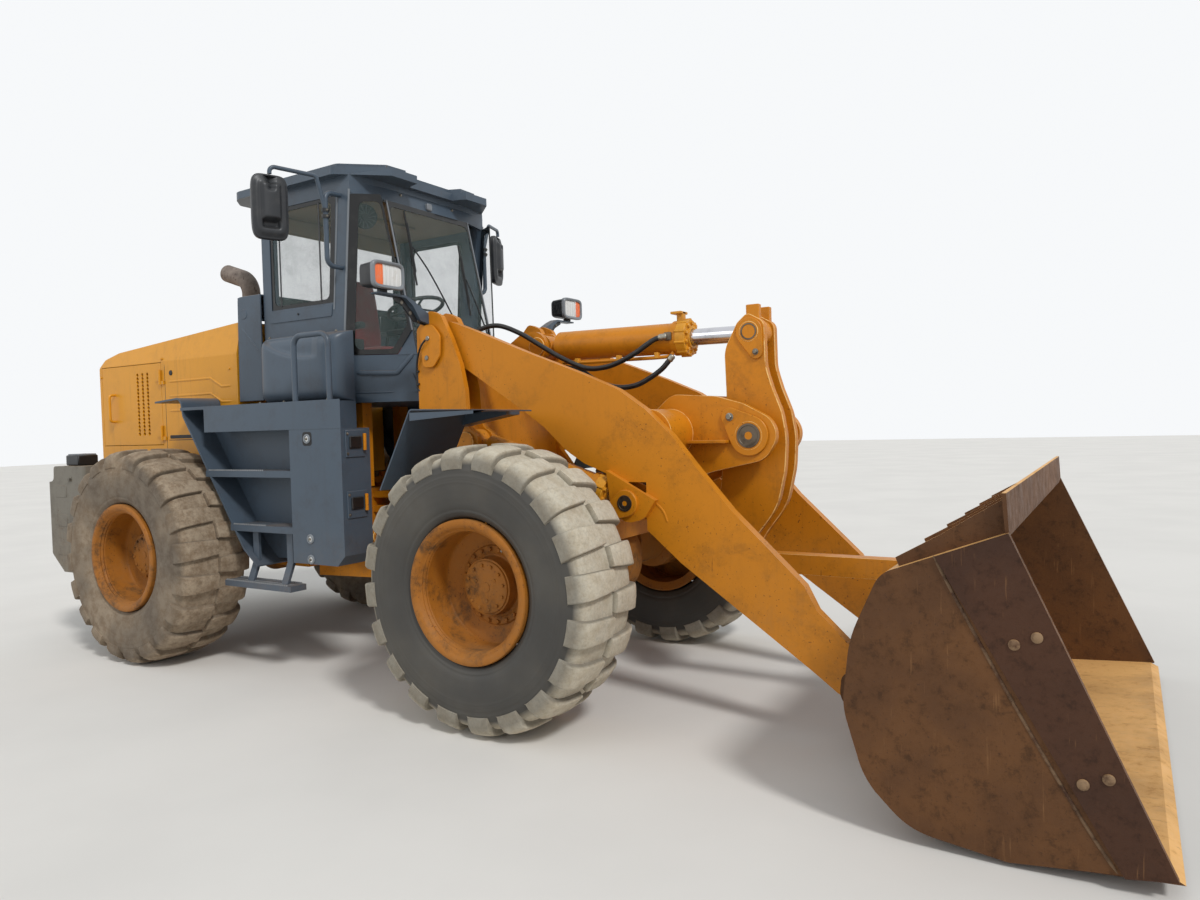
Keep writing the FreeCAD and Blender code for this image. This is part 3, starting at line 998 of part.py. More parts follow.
def handrails():
    """Grab rails at the pillars with the mirror arms on them, and the deck rails."""
    x = pillar_x(3000) - 60
    out = -CAB_Y - 130
    grab = tube([(x, -CAB_Y, 3330), (x, out, 3330), (x, out, 2830), (x, -CAB_Y, 2830)], 17, 55)
    arm = tube([(x, out, 3200), (x, out - 70, 3420), (x - 120, -MIRROR_Y, 3440), (x - 120, -MIRROR_Y, MIRROR_TOP)],
               14, 35)
    side = joined(grab, arm)
    low = DECK_TOP
    deck_r = tube([(-80, -1050, low), (-80, -1050, 2340), (255, -1050, 2340), (255, -1050, low)], 19, 70)
    emit("handrails", Part.makeCompound([side, mirrored(side), deck_r, mirrored(deck_r)]))
    half = MIRROR_WIDE / 2
    head = prism("x", [(-half, MIRROR_LOW, 50), (-half, MIRROR_TOP, 60), (half, MIRROR_TOP, 60),
                       (half, MIRROR_LOW, 50)], -MIRROR_DEEP / 2, MIRROR_DEEP / 2)
    head.rotate(V(), V(0, 0, 1), -MIRROR_TOE)
    emit("mirrors", both(head.translated(V(x - 120, -MIRROR_Y, 0))))


def rear_lamps():
    lamp = box(-2900, -2700, -1130, -960, WEIGHT_TOP, WEIGHT_TOP + 100)
    emit("rear_lamps", both(lamp))


def make_all():
    wheels()
    axles()
    drive_shafts()
    front_frame()
    front_fenders()
    front_lamps()
    boom()
    linkage()
    bucket()
    cylinders()
    rear_frame()
    counterweight()
    hood()
    exhaust()
    transmission()
    decks()
    cab()
    cab_door()
    cab_inside()
    handrails()
    rear_lamps()


make_all()
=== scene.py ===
"""Wheel loader: paint, rubber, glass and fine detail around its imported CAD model.

Sizes are in metres in the model's frame: +X forwards, +Y to the machine's left, +Z up.
"""
import json
from math import atan2, cos, pi, radians, sin

import bmesh
import bpy
import numpy as np
from bpy.props import FloatProperty, FloatVectorProperty, IntProperty, PointerProperty
from mathutils import Matrix, Vector

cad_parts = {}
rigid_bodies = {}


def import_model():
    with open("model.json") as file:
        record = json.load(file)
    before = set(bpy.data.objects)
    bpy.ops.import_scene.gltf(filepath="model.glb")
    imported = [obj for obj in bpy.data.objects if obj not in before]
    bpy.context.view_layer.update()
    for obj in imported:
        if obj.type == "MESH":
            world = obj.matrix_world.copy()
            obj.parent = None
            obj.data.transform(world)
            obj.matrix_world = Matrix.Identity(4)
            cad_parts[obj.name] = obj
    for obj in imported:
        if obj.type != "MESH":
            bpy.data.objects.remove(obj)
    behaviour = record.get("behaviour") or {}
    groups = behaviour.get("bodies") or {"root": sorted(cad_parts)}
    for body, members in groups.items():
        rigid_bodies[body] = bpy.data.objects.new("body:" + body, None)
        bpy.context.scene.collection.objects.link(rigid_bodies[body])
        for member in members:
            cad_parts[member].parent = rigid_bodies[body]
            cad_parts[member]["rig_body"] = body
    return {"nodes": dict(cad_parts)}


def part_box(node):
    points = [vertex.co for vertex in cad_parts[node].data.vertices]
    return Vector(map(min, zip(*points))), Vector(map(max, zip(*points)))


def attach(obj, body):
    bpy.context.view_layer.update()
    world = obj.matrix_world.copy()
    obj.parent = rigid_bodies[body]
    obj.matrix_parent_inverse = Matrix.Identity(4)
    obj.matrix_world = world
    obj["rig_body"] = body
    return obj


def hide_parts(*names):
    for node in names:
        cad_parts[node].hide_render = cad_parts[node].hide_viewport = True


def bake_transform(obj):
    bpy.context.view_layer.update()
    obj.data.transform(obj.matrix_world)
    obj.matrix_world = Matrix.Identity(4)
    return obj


bl_info = {
    "name": "Wheel Loader Finish",
    "version": (1, 0, 0),
    "blender": (4, 5, 0),
    "location": "3D View > Sidebar > Loader",
    "description": "Builds the painted, worn finish of a wheel loader around its frame",
    "category": "Object",
}

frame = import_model()
NODES = frame["nodes"]
BODY_OF = {name: obj["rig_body"] for name, obj in NODES.items()}
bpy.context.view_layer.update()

WHEELS = [(end, side) for end in ("front", "rear") for side in ("right", "left")]
SIDE_SIGN = {"right": -1, "left": 1}
ROCKER_PIVOT = (1.9815, 1.601)
ROCKER_TOP = (1.9445, 2.215)
ROCKER_LOW = (1.7125, 0.835)
TILT_BASE = (0.4005, 2.235)
LIFT_BASE = (0.2125, 1.600)
LIFT_EYE = (1.3725, 1.230)
STEER_EYE = (-0.6375, 0.9)
ARM_Y = 0.56
ARM_FACE = 0.595
TOWER_FACE = 0.655
CAB_Y = 0.72
HOOD_Y = 0.75
DECK_Y = 1.08
DECK_TOP = 1.902
WHEEL_Y = 1.13
WHEEL_RADIUS = 0.8
TREAD_HALF = 0.2825          # half width over the lugs' ends


# Settings

def colour(name, text, srgb):
    return FloatVectorProperty(name=name, description=text, default=srgb, size=3, min=0.0, max=1.0,
                               subtype="COLOR_GAMMA")


class LoaderColours(bpy.types.PropertyGroup):
    """Colours as they look in plain daylight."""
    hood: colour("Hood yellow", "Ochre paint of hood and rear", (0.84, 0.575, 0.12))
    boom: colour("Boom yellow", "Paint of boom, towers and linkage", (0.80, 0.50, 0.08))
    gland: colour("Gland yellow", "Paint of the cylinder heads", (0.85, 0.585, 0.14))
    slate: colour("Slate", "Blue-grey paint of cab, deck and steps", (0.275, 0.325, 0.375))
    grey: colour("Weight grey", "Paint of the counterweight", (0.46, 0.44, 0.40))
    rim: colour("Rim orange", "Paint of the rims and hubs", (0.63, 0.385, 0.10))
    rubber: colour("Rubber", "Clean rubber of the sidewalls", (0.135, 0.135, 0.135))
    tread_dust: colour("Tread dust", "Dry dust on the lugs", (0.80, 0.765, 0.69))
    soil: colour("Soil", "Dust and mud near the ground", (0.55, 0.44, 0.31))
    rust: colour("Rust", "Rust on edges and in chips", (0.34, 0.17, 0.08))
    bucket: colour("Bucket brown", "Rusty paint of the bucket", (0.33, 0.21, 0.11))
    cutter: colour("Cutter brown", "Dark scale on the cutting edges", (0.235, 0.14, 0.085))
    # Pale bucket floor, partly painted sunlight: it goes on the bucket's faces that look up.
    scoured: colour("Scoured steel", "Pale, scoured floor of the bucket", (0.92, 0.71, 0.44))
    chrome: colour("Chrome", "Cylinder rods", (0.80, 0.80, 0.82))
    black: colour("Black", "Moulded plastic, hoses and seals", (0.07, 0.07, 0.075))
    liner: colour("Liner", "Tan lining of the cab roof", (0.55, 0.47, 0.36))
    cloth: colour("Seat cloth", "Cover on the driver's seat", (0.62, 0.10, 0.10))
    amber: colour("Amber", "Turn signal lens", (0.95, 0.36, 0.05))
    floor: colour("Floor", "Studio floor", (0.88, 0.865, 0.84))


class LoaderSizes(bpy.types.PropertyGroup):
    """Sizes and counts of the fine detail."""
    edge: FloatProperty(name="Edge", description="Width of the rounded, worn edges", default=0.004,
                        min=0.001, max=0.02, unit="LENGTH")
    lugs: IntProperty(name="Lugs", description="Lugs on each half of a tread", default=20, min=8, max=40)
    lug_height: FloatProperty(name="Lug height", description="Height of the lugs over the carcass",
                              default=0.036, min=0.01, max=0.08, unit="LENGTH")
    hub_bolts: IntProperty(name="Hub bolts", description="Bolts round a hub's cover", default=12, min=4, max=24)
    hose: FloatProperty(name="Hose", description="Outer radius of the hydraulic lines", default=0.017,
                        min=0.005, max=0.04, unit="LENGTH")


def tints():
    """The colours set in the sidebar."""
    return bpy.context.scene.loader_colours


def sizes():
    """The sizes set in the sidebar."""
    return bpy.context.scene.loader_sizes


def linear(srgb, alpha=1.0):
    """sRGB values as the linear ones that a shader takes."""
    c = np.asarray(srgb, float)
    out = np.where(c <= 0.04045, c / 12.92, ((c + 0.055) / 1.055) ** 2.4)
    return (*[float(x) for x in out], alpha)


# Surfaces

def grid_faces(rows, cols, wrap_rows=False, wrap_cols=False):
    """Four-sided faces that join each point of a rows by cols grid to its neighbours."""
    i, j = np.meshgrid(np.arange(rows - (not wrap_rows)), np.arange(cols - (not wrap_cols)), indexing="ij")
    up, along = (i + 1) % rows, (j + 1) % cols
    return np.stack([i * cols + j, i * cols + along, up * cols + along, up * cols + j], -1).reshape(-1, 4)


def unit(v):
    """A vector divided by its length."""
    v = np.asarray(v, float)
    return v / np.linalg.norm(v)


def across(axis):
    """Two unit vectors square to an axis and to each other."""
    axis = unit(axis)
    other = np.array([0.0, 0.0, 1.0]) if abs(axis[2]) < 0.9 else np.array([1.0, 0.0, 0.0])
    first = unit(np.cross(other, axis))
    return first, np.cross(axis, first)


class Bundle:
    """Surfaces gathered into one mesh that rides on one body."""

    def __init__(self):
        self.points, self.faces, self.finish, self.wear, self.dust, self.names, self.count = [], [], [], [], [], [], 0

    def add(self, points, faces, finish, wear=0.0, dust=0.0):
        """A surface of points and blocks of faces, with one finish."""
        points = np.asarray(points, float).reshape(-1, 3)
        if finish not in self.names:
            self.names.append(finish)
        self.points.append(points)
        faces = [np.asarray(faces)] if not isinstance(faces, list) else faces
        for block in faces:
            block = np.atleast_2d(block)
            self.faces.extend((block + self.count).tolist())
            self.finish.append(np.full(len(block), self.names.index(finish)))
            self.wear.append(np.full(len(block), float(wear)))
        self.dust.append(np.broadcast_to(np.asarray(dust, float), (len(points),)))
        self.count += len(points)
        return self

    def twin_from(self, other, flip=True):
        """Another bundle's surfaces added here, mirrored across the machine's middle where flip is set."""
        self.names += [name for name in other.names if name not in self.names]
        renamed = np.array([self.names.index(name) for name in other.names])
        self.points.append(np.concatenate(other.points) * ((1, -1, 1) if flip else (1, 1, 1)))
        step = -1 if flip else 1
        self.faces.extend([[i + self.count for i in face[::step]] for face in other.faces])
        self.finish.append(renamed[np.concatenate(other.finish)])
        self.wear.append(np.concatenate(other.wear))
        self.dust.append(np.concatenate(other.dust))
        self.count += other.count
        return self

    def build(self, name, body, slot=None, smooth=35.0, stands_for=()):
        """The mesh of all surfaces, riding on a body; smooth is the sharpest angle that is shaded round."""
        mesh = bpy.data.meshes.new(name)
        mesh.from_pydata(np.concatenate(self.points).tolist(), [], self.faces)
        for finish in self.names:
            mesh.materials.append(finished(finish))
        mesh.polygons.foreach_set("material_index", np.concatenate(self.finish).astype(np.int32))
        put_attribute(mesh, "wear", "FACE", np.concatenate(self.wear))
        put_attribute(mesh, "dust", "POINT", np.concatenate(self.dust))
        mesh.shade_smooth()
        mesh.set_sharp_from_angle(angle=radians(smooth))
        mesh.update()
        piece = bpy.data.objects.new(name, mesh)
        bpy.context.scene.collection.objects.link(piece)
        if body:
            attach(piece, body)
        if stands_for:
            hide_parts(*stands_for)
        return piece


def both_sides(half):
    """A bundle and its twin across the machine's middle."""
    return Bundle().twin_from(half).twin_from(half, flip=False)


def put_attribute(mesh, name, domain, values):
    """One number for each face or corner, for the materials to read."""
    layer = mesh.attributes.new(name, "FLOAT", domain)
    layer.data.foreach_set("value", np.asarray(values, np.float32))


def turned(profile, centre, axis, sides=32, turn=0.0):
    """Points and faces of a (distance along axis, radius) profile carried round an axis through centre."""
    profile = np.asarray(profile, float)
    a, b = across(axis)
    angle = turn + 2 * pi * np.arange(sides) / sides
    ring = np.outer(np.cos(angle), a) + np.outer(np.sin(angle), b)
    points = (np.asarray(centre) + profile[:, None, 0:1] * unit(axis) + profile[:, None, 1:2] * ring[None])
    return points.reshape(-1, 3), grid_faces(len(profile), sides, wrap_cols=True)


def tube(path, radius, sides=12):
    """A round section carried along a path of points, its frame turned as little as possible, with closed ends."""
    path = np.asarray(path, float)
    run = np.gradient(path, axis=0)
    run /= np.linalg.norm(run, axis=1)[:, None]
    first = across(run[0])[0]
    frames = [first]
    for t in run[1:]:
        first = unit(first - t * (first @ t))
        frames.append(first)
    frames = np.array(frames)
    other = np.cross(run, frames)
    angle = 2 * pi * np.arange(sides) / sides
    radius = np.broadcast_to(np.asarray(radius, float), (len(path),))
    ring = frames[:, None] * np.cos(angle)[None, :, None] + other[:, None] * np.sin(angle)[None, :, None]
    points = path[:, None] + ring * radius[:, None, None]
    faces = [grid_faces(len(path), sides, wrap_cols=True),
             np.arange(sides)[::-1], np.arange(sides) + (len(path) - 1) * sides]
    return points.reshape(-1, 3), faces


def eased(points, per_run=8):
    """Points along a smooth line through the given ones, each run a cubic whose ends point along its neighbours."""
    p = np.asarray(points, float)
    ends = np.vstack([2 * p[0] - p[1], p, 2 * p[-1] - p[-2]])
    t = np.linspace(0, 1, per_run, endpoint=False)[:, None]
    runs = []
    for a, b, c, d in zip(ends[:-3], ends[1:-2], ends[2:-1], ends[3:]):
        runs.append(0.5 * (2 * b + (c - a) * t + (2 * a - 5 * b + 4 * c - d) * t ** 2
                           + (3 * b - a - 3 * c + d) * t ** 3))
    return np.vstack(runs + [p[-1:]])


def plate(outline, place, thickness, chamfer=0.002):
    """A flat outline with a thickness and a chamfered front edge; place turns (u, v, depth) rows into points."""
    flat = np.asarray(outline, float)
    area = 0.5 * np.sum(flat[:, 0] * np.roll(flat[:, 1], -1) - np.roll(flat[:, 0], -1) * flat[:, 1])
    if area < 0:
        flat = flat[::-1]
    before, after = flat - np.roll(flat, 1, 0), np.roll(flat, -1, 0) - flat
    before /= np.maximum(np.linalg.norm(before, axis=1), 1e-9)[:, None]
    after /= np.maximum(np.linalg.norm(after, axis=1), 1e-9)[:, None]
    inward = np.stack([-(before + after)[:, 1], (before + after)[:, 0]], -1)
    inward /= np.maximum(np.linalg.norm(inward, axis=1), 1e-9)[:, None]
    inner = flat + inward * chamfer
    count = len(flat)
    rings = [(flat, 0.0), (flat, thickness - chamfer), (inner, thickness)]
    points = np.vstack([place(ring[:, 0], ring[:, 1], np.full(count, depth)) for ring, depth in rings])
    faces = [grid_faces(3, count, wrap_cols=True), np.arange(count)[::-1], np.arange(count) + 2 * count]
    return points, faces


def side_place(level, out):
    """Placer for a plate in the XZ plane at y = level, its front face towards out (-1 is the right-hand side)."""
    def place(u, v, depth):
        return np.stack([u, level + out * depth, v], -1)
    return place


def flipped(faces):
    """The same faces seen from the other side."""
    blocks = faces if isinstance(faces, list) else [faces]
    return [np.atleast_2d(block)[:, ::-1] for block in blocks]


def add_side_plate(bundle, outline, level, out, thickness, finish, chamfer=0.002, wear=0.0):
    """A plate on a side face, its faces outwards on either side of the machine."""
    points, faces = plate(outline, side_place(level, out), thickness, chamfer)
    bundle.add(points, faces if out < 0 else flipped(faces), finish, wear)


def round_outline(corners, steps=5):
    """Outline of (u, v, radius) corners with each corner rounded by an arc of short lines."""
    c = np.asarray(corners, float)
    out = []
    for i, (x, y, r) in enumerate(c):
        here = np.array([x, y])
        u = unit(c[i - 1, :2] - here)
        w = unit(c[(i + 1) % len(c), :2] - here)
        if r <= 0:
            out.append(here[None])
            continue
        half = np.arccos(np.clip(u @ w, -1, 1)) / 2
        centre = here + unit(u + w) * r / sin(half)
        start, end = here + u * r / np.tan(half), here + w * r / np.tan(half)
        a0, a1 = atan2(*(start - centre)[::-1]), atan2(*(end - centre)[::-1])
        sweep = (a1 - a0 + pi) % (2 * pi) - pi
        angle = a0 + sweep * np.linspace(0, 1, steps)
        out.append(centre + r * np.stack([np.cos(angle), np.sin(angle)], -1))
    return np.vstack(out)


def teardrop(x0, z0, r0, x1, z1, r1, sides=12):
    """Outline of two circles and the straight lines that touch both."""
    lean = atan2(z1 - z0, x1 - x0)
    spread = np.arccos(np.clip((r0 - r1) / np.hypot(x1 - x0, z1 - z0), -1, 1))
    big = lean + np.linspace(spread, 2 * pi - spread, sides)
    small = lean + np.linspace(-spread, spread, sides)
    return np.vstack([np.stack([x0 + r0 * np.cos(big), z0 + r0 * np.sin(big)], -1),
                      np.stack([x1 + r1 * np.cos(small), z1 + r1 * np.sin(small)], -1)])


def bolts(bundle, places, axis, radius, finish, washer=1.35):
    """Hexagon heads with washers at the places, standing out along the axis."""
    axis = unit(axis)
    for k, centre in enumerate(np.atleast_2d(places)):
        low, high = 0.25 * radius, 1.15 * radius
        bundle.add(*turned([(-0.3 * radius, washer * radius), (low * 0.8, washer * radius),
                            (low, washer * radius * 0.93), (low, 0)], centre, axis, 14), finish, wear=0.3)
        bundle.add(*turned([(0, radius), (high * 0.85, radius), (high, radius * 0.84), (high, 0)],
                           centre, axis, 6, turn=0.4 * k), finish, wear=0.6)


def box_points(low, high, chamfer=0.003):
    """Points and faces of a box with every edge cut back flat."""
    low, high = np.asarray(low, float), np.asarray(high, float)
    middle, half = (low + high) / 2, (high - low) / 2
    c = min(chamfer, *(half * 0.9))
    mesh = bmesh.new()
    bmesh.ops.create_cube(mesh, size=2.0)
    for v in mesh.verts:
        v.co = Vector(middle + np.array(v.co) * half)
    bmesh.ops.bevel(mesh, geom=list(mesh.edges), offset=c, segments=1, affect="EDGES", profile=0.5)
    mesh.verts.index_update()
    points = np.array([v.co for v in mesh.verts])
    faces = [np.array([v.index for v in f.verts]) for f in mesh.faces]
    mesh.free()
    return points, faces


def add_box(bundle, low, high, finish, chamfer=0.003, wear=0.0):
    """A box between two corners, with its edges cut back."""
    bundle.add(*box_points(low, high, chamfer), finish, wear)


# Finishes

def wired(made, inputs):
    """A node with its inputs set; each is a value, or the output that feeds it."""
    for key, value in inputs.items():
        if isinstance(value, bpy.types.NodeSocket):
            made.id_data.links.new(value, made.inputs[key])
        else:
            made.inputs[key].default_value = value
    return made


def node(tree, kind, inputs=(), **settings):
    """A shader node with its settings and inputs."""
    made = tree.nodes.new("ShaderNode" + kind)
    for key, value in settings.items():
        setattr(made, key, value)
    return wired(made, dict(inputs))


def here(tree):
    """The place on the piece that is being shaded."""
    return node(tree, "TexCoord").outputs["Object"]


def upright(tree, vector):
    """The Z part of a vector."""
    return node(tree, "SeparateXYZ", {0: vector}).outputs["Z"]


def mixed(tree, factor, a, b):
    """Two colours mixed by a factor."""
    return node(tree, "Mix", {0: factor, 6: a, 7: b}, data_type="RGBA").outputs[2]


def reckoned(tree, operation, a, b, clamp=False):
    return node(tree, "Math", {0: a, 1: b}, operation=operation, use_clamp=clamp).outputs[0]


def times(tree, a, b, clamp=False):
    return reckoned(tree, "MULTIPLY", a, b, clamp)


def plus(tree, a, b, clamp=False):
    return reckoned(tree, "ADD", a, b, clamp)


def larger(tree, a, b, clamp=False):
    return reckoned(tree, "MAXIMUM", a, b, clamp)


def ramped(tree, value, low, high, to_low=0.0, to_high=1.0):
    """A value spread from low..high to another span, eased at both ends."""
    return node(tree, "MapRange", {"Value": value, "From Min": low, "From Max": high, "To Min": to_low,
                                   "To Max": to_high}, interpolation_type="SMOOTHSTEP").outputs["Result"]


def noise(tree, place, scale, detail=4.0, roughness=0.55, distortion=0.0):
    """Clouds of a scale, from 0 to 1."""
    return node(tree, "TexNoise", {"Vector": place, "Scale": scale, "Detail": detail, "Roughness": roughness,
                                   "Distortion": distortion}).outputs["Fac"]


def stretched(tree, place, scale):
    """Places scaled along each axis, which draws a pattern out where the scale is small."""
    return node(tree, "Mapping", {"Vector": place, "Scale": scale}).outputs["Vector"]


def slanted(tree, place, turn, squeeze):
    """Places drawn out along a line that leans by a turn in the XZ plane."""
    return node(tree, "Mapping", {"Vector": place, "Rotation": (0.0, turn, 0.0),
                                  "Scale": (1.0, 1.0, squeeze)}).outputs["Vector"]


def group(name, colours, values, output):
    """An empty shader group: colours and numbers go in, a colour and a number come out."""
    tree = bpy.data.node_groups.new(name, "ShaderNodeTree")
    for title in colours:
        tree.interface.new_socket(title, in_out="INPUT", socket_type="NodeSocketColor")
    for title, default in values.items():
        tree.interface.new_socket(title, in_out="INPUT", socket_type="NodeSocketFloat").default_value = default
    tree.interface.new_socket("Colour", in_out="OUTPUT", socket_type="NodeSocketColor")
    tree.interface.new_socket(output, in_out="OUTPUT", socket_type="NodeSocketFloat")
    return tree, tree.nodes.new("NodeGroupInput").outputs, tree.nodes.new("NodeGroupOutput")


def settled_dust():
    """Dust on faces that look up, and splashed soil that thins out with height."""
    tree, given, out = group("settled_dust", ("Colour", "Dust"), {"Amount": 0.4, "Splash": 0.4, "Height": 1.2}, "Mask")
    place = here(tree)
    up = upright(tree, node(tree, "NewGeometry").outputs["Normal"])
    patches = ramped(tree, noise(tree, place, 3.4, 7.0, 0.62), 0.36, 0.66)
    fine = ramped(tree, noise(tree, place, 26.0, 5.0, 0.7), 0.3, 0.75)
    lying = times(tree, ramped(tree, up, 0.45, 0.98), plus(tree, times(tree, patches, 0.6), 0.4))
    near = ramped(tree, reckoned(tree, "DIVIDE", upright(tree, place), given["Height"]), 0.1, 1.0, 1.0, 0.0)
    splash = times(tree, times(tree, near, given["Splash"]), plus(tree, times(tree, patches, fine), 0.25))
    mask = larger(tree, times(tree, lying, given["Amount"]), splash, clamp=True)
    wired(out, {"Colour": mixed(tree, mask, given["Colour"], given["Dust"]), "Mask": mask})
    return tree


def worn_edges():
    """Paint gone at rounded edges, and rust specks and slanted scratches, more of them low down."""
    tree, given, out = group("worn_edges", ("Colour", "Edge", "Rust"), {"Wear": 0.5, "Chips": 0.2}, "Mask")
    place = here(tree)
    edge = node(tree, "Attribute", attribute_name="wear").outputs["Fac"]
    rough = noise(tree, place, 17.0, 6.0, 0.7)
    gone = ramped(tree, times(tree, edge, plus(tree, rough, given["Wear"])), 0.62, 0.86)
    where = larger(tree, ramped(tree, noise(tree, place, 2.1, 3.0), 0.46, 0.64),
                   ramped(tree, upright(tree, place), 0.5, 2.1, 0.85, 0.0))
    spots = ramped(tree, noise(tree, place, 62.0, 4.0, 0.62, 0.4), 0.635, 0.675)
    lines = noise(tree, slanted(tree, place, 0.6, 0.045), 58.0, 3.0, 0.6)
    scrapes = times(tree, ramped(tree, lines, 0.685, 0.71), ramped(tree, noise(tree, place, 6.5, 2.0), 0.52, 0.6))
    chips = times(tree, times(tree, larger(tree, spots, scrapes), where), given["Chips"], clamp=True)
    worn = mixed(tree, gone, given["Colour"], given["Edge"])
    wired(out, {"Colour": mixed(tree, chips, worn, given["Rust"]), "Mask": larger(tree, gone, chips)})
    return tree


def rain_streaks():
    """Narrow runs of dirt down the sides, broken into patches."""
    tree, given, out = group("rain_streaks", ("Colour", "Dirt"), {"Amount": 0.3}, "Mask")
    place = here(tree)
    runs = noise(tree, stretched(tree, place, (1.0, 1.0, 0.07)), 21.0, 5.0, 0.65)
    where = ramped(tree, noise(tree, place, 1.7, 4.0), 0.38, 0.7)
    mask = times(tree, times(tree, ramped(tree, runs, 0.5, 0.78), where), given["Amount"], clamp=True)
    wired(out, {"Colour": mixed(tree, mask, given["Colour"], given["Dirt"]), "Mask": mask})
    return tree


def faded():
    """Paint lightened and darkened in broad clouds and fine mottling."""
    tree, given, out = group("faded", ("Colour",), {"Amount": 0.2}, "Height")
    place = here(tree)
    fine = noise(tree, place, 48.0, 4.0, 0.7)
    shift = plus(tree, times(tree, noise(tree, place, 1.3, 3.0), 0.7), times(tree, fine, 0.3))
    swing = times(tree, reckoned(tree, "SUBTRACT", shift, 0.5), given["Amount"])
    level = plus(tree, times(tree, swing, 2.0), 1.0)
    scaled = node(tree, "VectorMath", {0: given["Colour"], "Scale": level}, operation="SCALE")
    wired(out, {"Colour": scaled.outputs["Vector"], "Height": fine})
    return tree


def caked_grime():
    """Dark, oily dirt in broken patches."""
    tree, given, out = group("caked_grime", ("Colour", "Grime"), {"Amount": 0.3}, "Mask")
    place = here(tree)
    patches = ramped(tree, noise(tree, place, 4.6, 9.0, 0.72, 0.3), 0.47, 0.66)
    grain = ramped(tree, noise(tree, place, 38.0, 5.0, 0.7), 0.36, 0.6, 0.35, 1.0)
    mask = times(tree, times(tree, patches, grain), given["Amount"], clamp=True)
    wired(out, {"Colour": mixed(tree, mask, given["Colour"], given["Grime"]), "Mask": mask})
    return tree


GROUPS = {made.__name__: made for made in (settled_dust, worn_edges, rain_streaks, faded, caked_grime)}


def effect(tree, name, inputs):
    """A shared group placed in a material with its own values."""
    made = tree.nodes.new("ShaderNodeGroup")
    made.node_tree = bpy.data.node_groups.get(name) or GROUPS[name]()
    return wired(made, inputs).outputs


def fresh_material(name):
    """A material with only a Principled shader and its output."""
    material = bpy.data.materials.new("finish_" + name)
    material.use_nodes = True
    tree = material.node_tree
    tree.nodes.clear()
    shader = node(tree, "BsdfPrincipled")
    wired(tree.nodes.new("ShaderNodeOutputMaterial"), {"Surface": shader.outputs["BSDF"]})
    return material, tree, shader


def bumped(tree, height, strength, distance):
    """Normals tilted by a height."""
    return node(tree, "Bump", {"Height": height, "Strength": strength, "Distance": distance}).outputs["Normal"]


# Paints: tint, edge tint, roughness, specular, fading, worn edges, chips, streaks, grime, lying dust, splashed soil
# and its height
PAINTS = {
    "hood_paint": ("hood", (0.94, 0.76, 0.40), 0.36, 0.40, 0.12, 0.15, 0.15, 0.28, 0.10, 0.40, 0.10, 1.7),
    "boom_paint": ("boom", (0.95, 0.78, 0.50), 0.42, 0.28, 0.16, 0.30, 0.95, 0.30, 0.25, 0.22, 0.40, 1.3),
    "slate_paint": ("slate", (0.50, 0.53, 0.55), 0.38, 0.40, 0.14, 0.20, 0.25, 0.20, 0.22, 0.32, 0.32, 1.3),
    "grey_paint": ("grey", (0.62, 0.60, 0.55), 0.60, 0.30, 0.16, 0.20, 0.50, 0.40, 0.35, 0.5, 0.55, 1.3),
    "rim_paint": ("rim", (0.80, 0.60, 0.32), 0.55, 0.25, 0.30, 0.35, 1.0, 0.35, 0.85, 0.40, 0.40, 1.6),
    "axle_paint": ("rim", (0.40, 0.28, 0.16), 0.65, 0.20, 0.35, 0.10, 1.0, 0.4, 1.0, 0.7, 0.8, 1.4),
    "gland_paint": ("gland", (0.95, 0.85, 0.62), 0.42, 0.35, 0.15, 0.40, 0.6, 0.2, 0.25, 0.3, 0.0, 1.0),
    "engine_paint": ("slate", (0.30, 0.30, 0.30), 0.60, 0.30, 0.30, 0.2, 0.6, 0.5, 0.8, 0.6, 0.2, 1.4),
}


def painted(name):
    """Paint over steel: faded, streaked, grimy, worn through at edges, with dust where it would settle."""
    tint, edge, gloss, specular, fade, wear, chips, streaks, grime, dust, splash, height = PAINTS[name]
    material, tree, shader = fresh_material(name)
    look = effect(tree, "faded", {"Colour": linear(getattr(tints(), tint)), "Amount": fade})
    grain = look["Height"]
    look = effect(tree, "rain_streaks", {"Colour": look["Colour"], "Dirt": linear((0.24, 0.18, 0.12)),
                                         "Amount": streaks})
    look = effect(tree, "caked_grime", {"Colour": look["Colour"], "Grime": linear((0.20, 0.14, 0.09)),
                                        "Amount": grime})
    look = effect(tree, "worn_edges", {"Colour": look["Colour"], "Edge": linear(edge),
                                       "Rust": linear(tints().rust), "Wear": wear, "Chips": chips})
    bare = look["Mask"]
    look = effect(tree, "settled_dust", {"Colour": look["Colour"], "Dust": linear(tints().soil), "Amount": dust,
                                         "Splash": splash, "Height": height})
    dull = larger(tree, look["Mask"], times(tree, bare, 0.5))
    wired(shader, {"Base Color": look["Colour"], "Specular IOR Level": specular,
                   "Roughness": ramped(tree, dull, 0.0, 0.8, gloss, 0.9),
                   "Normal": bumped(tree, reckoned(tree, "SUBTRACT", grain, bare), 0.12, 0.002)})
    return material


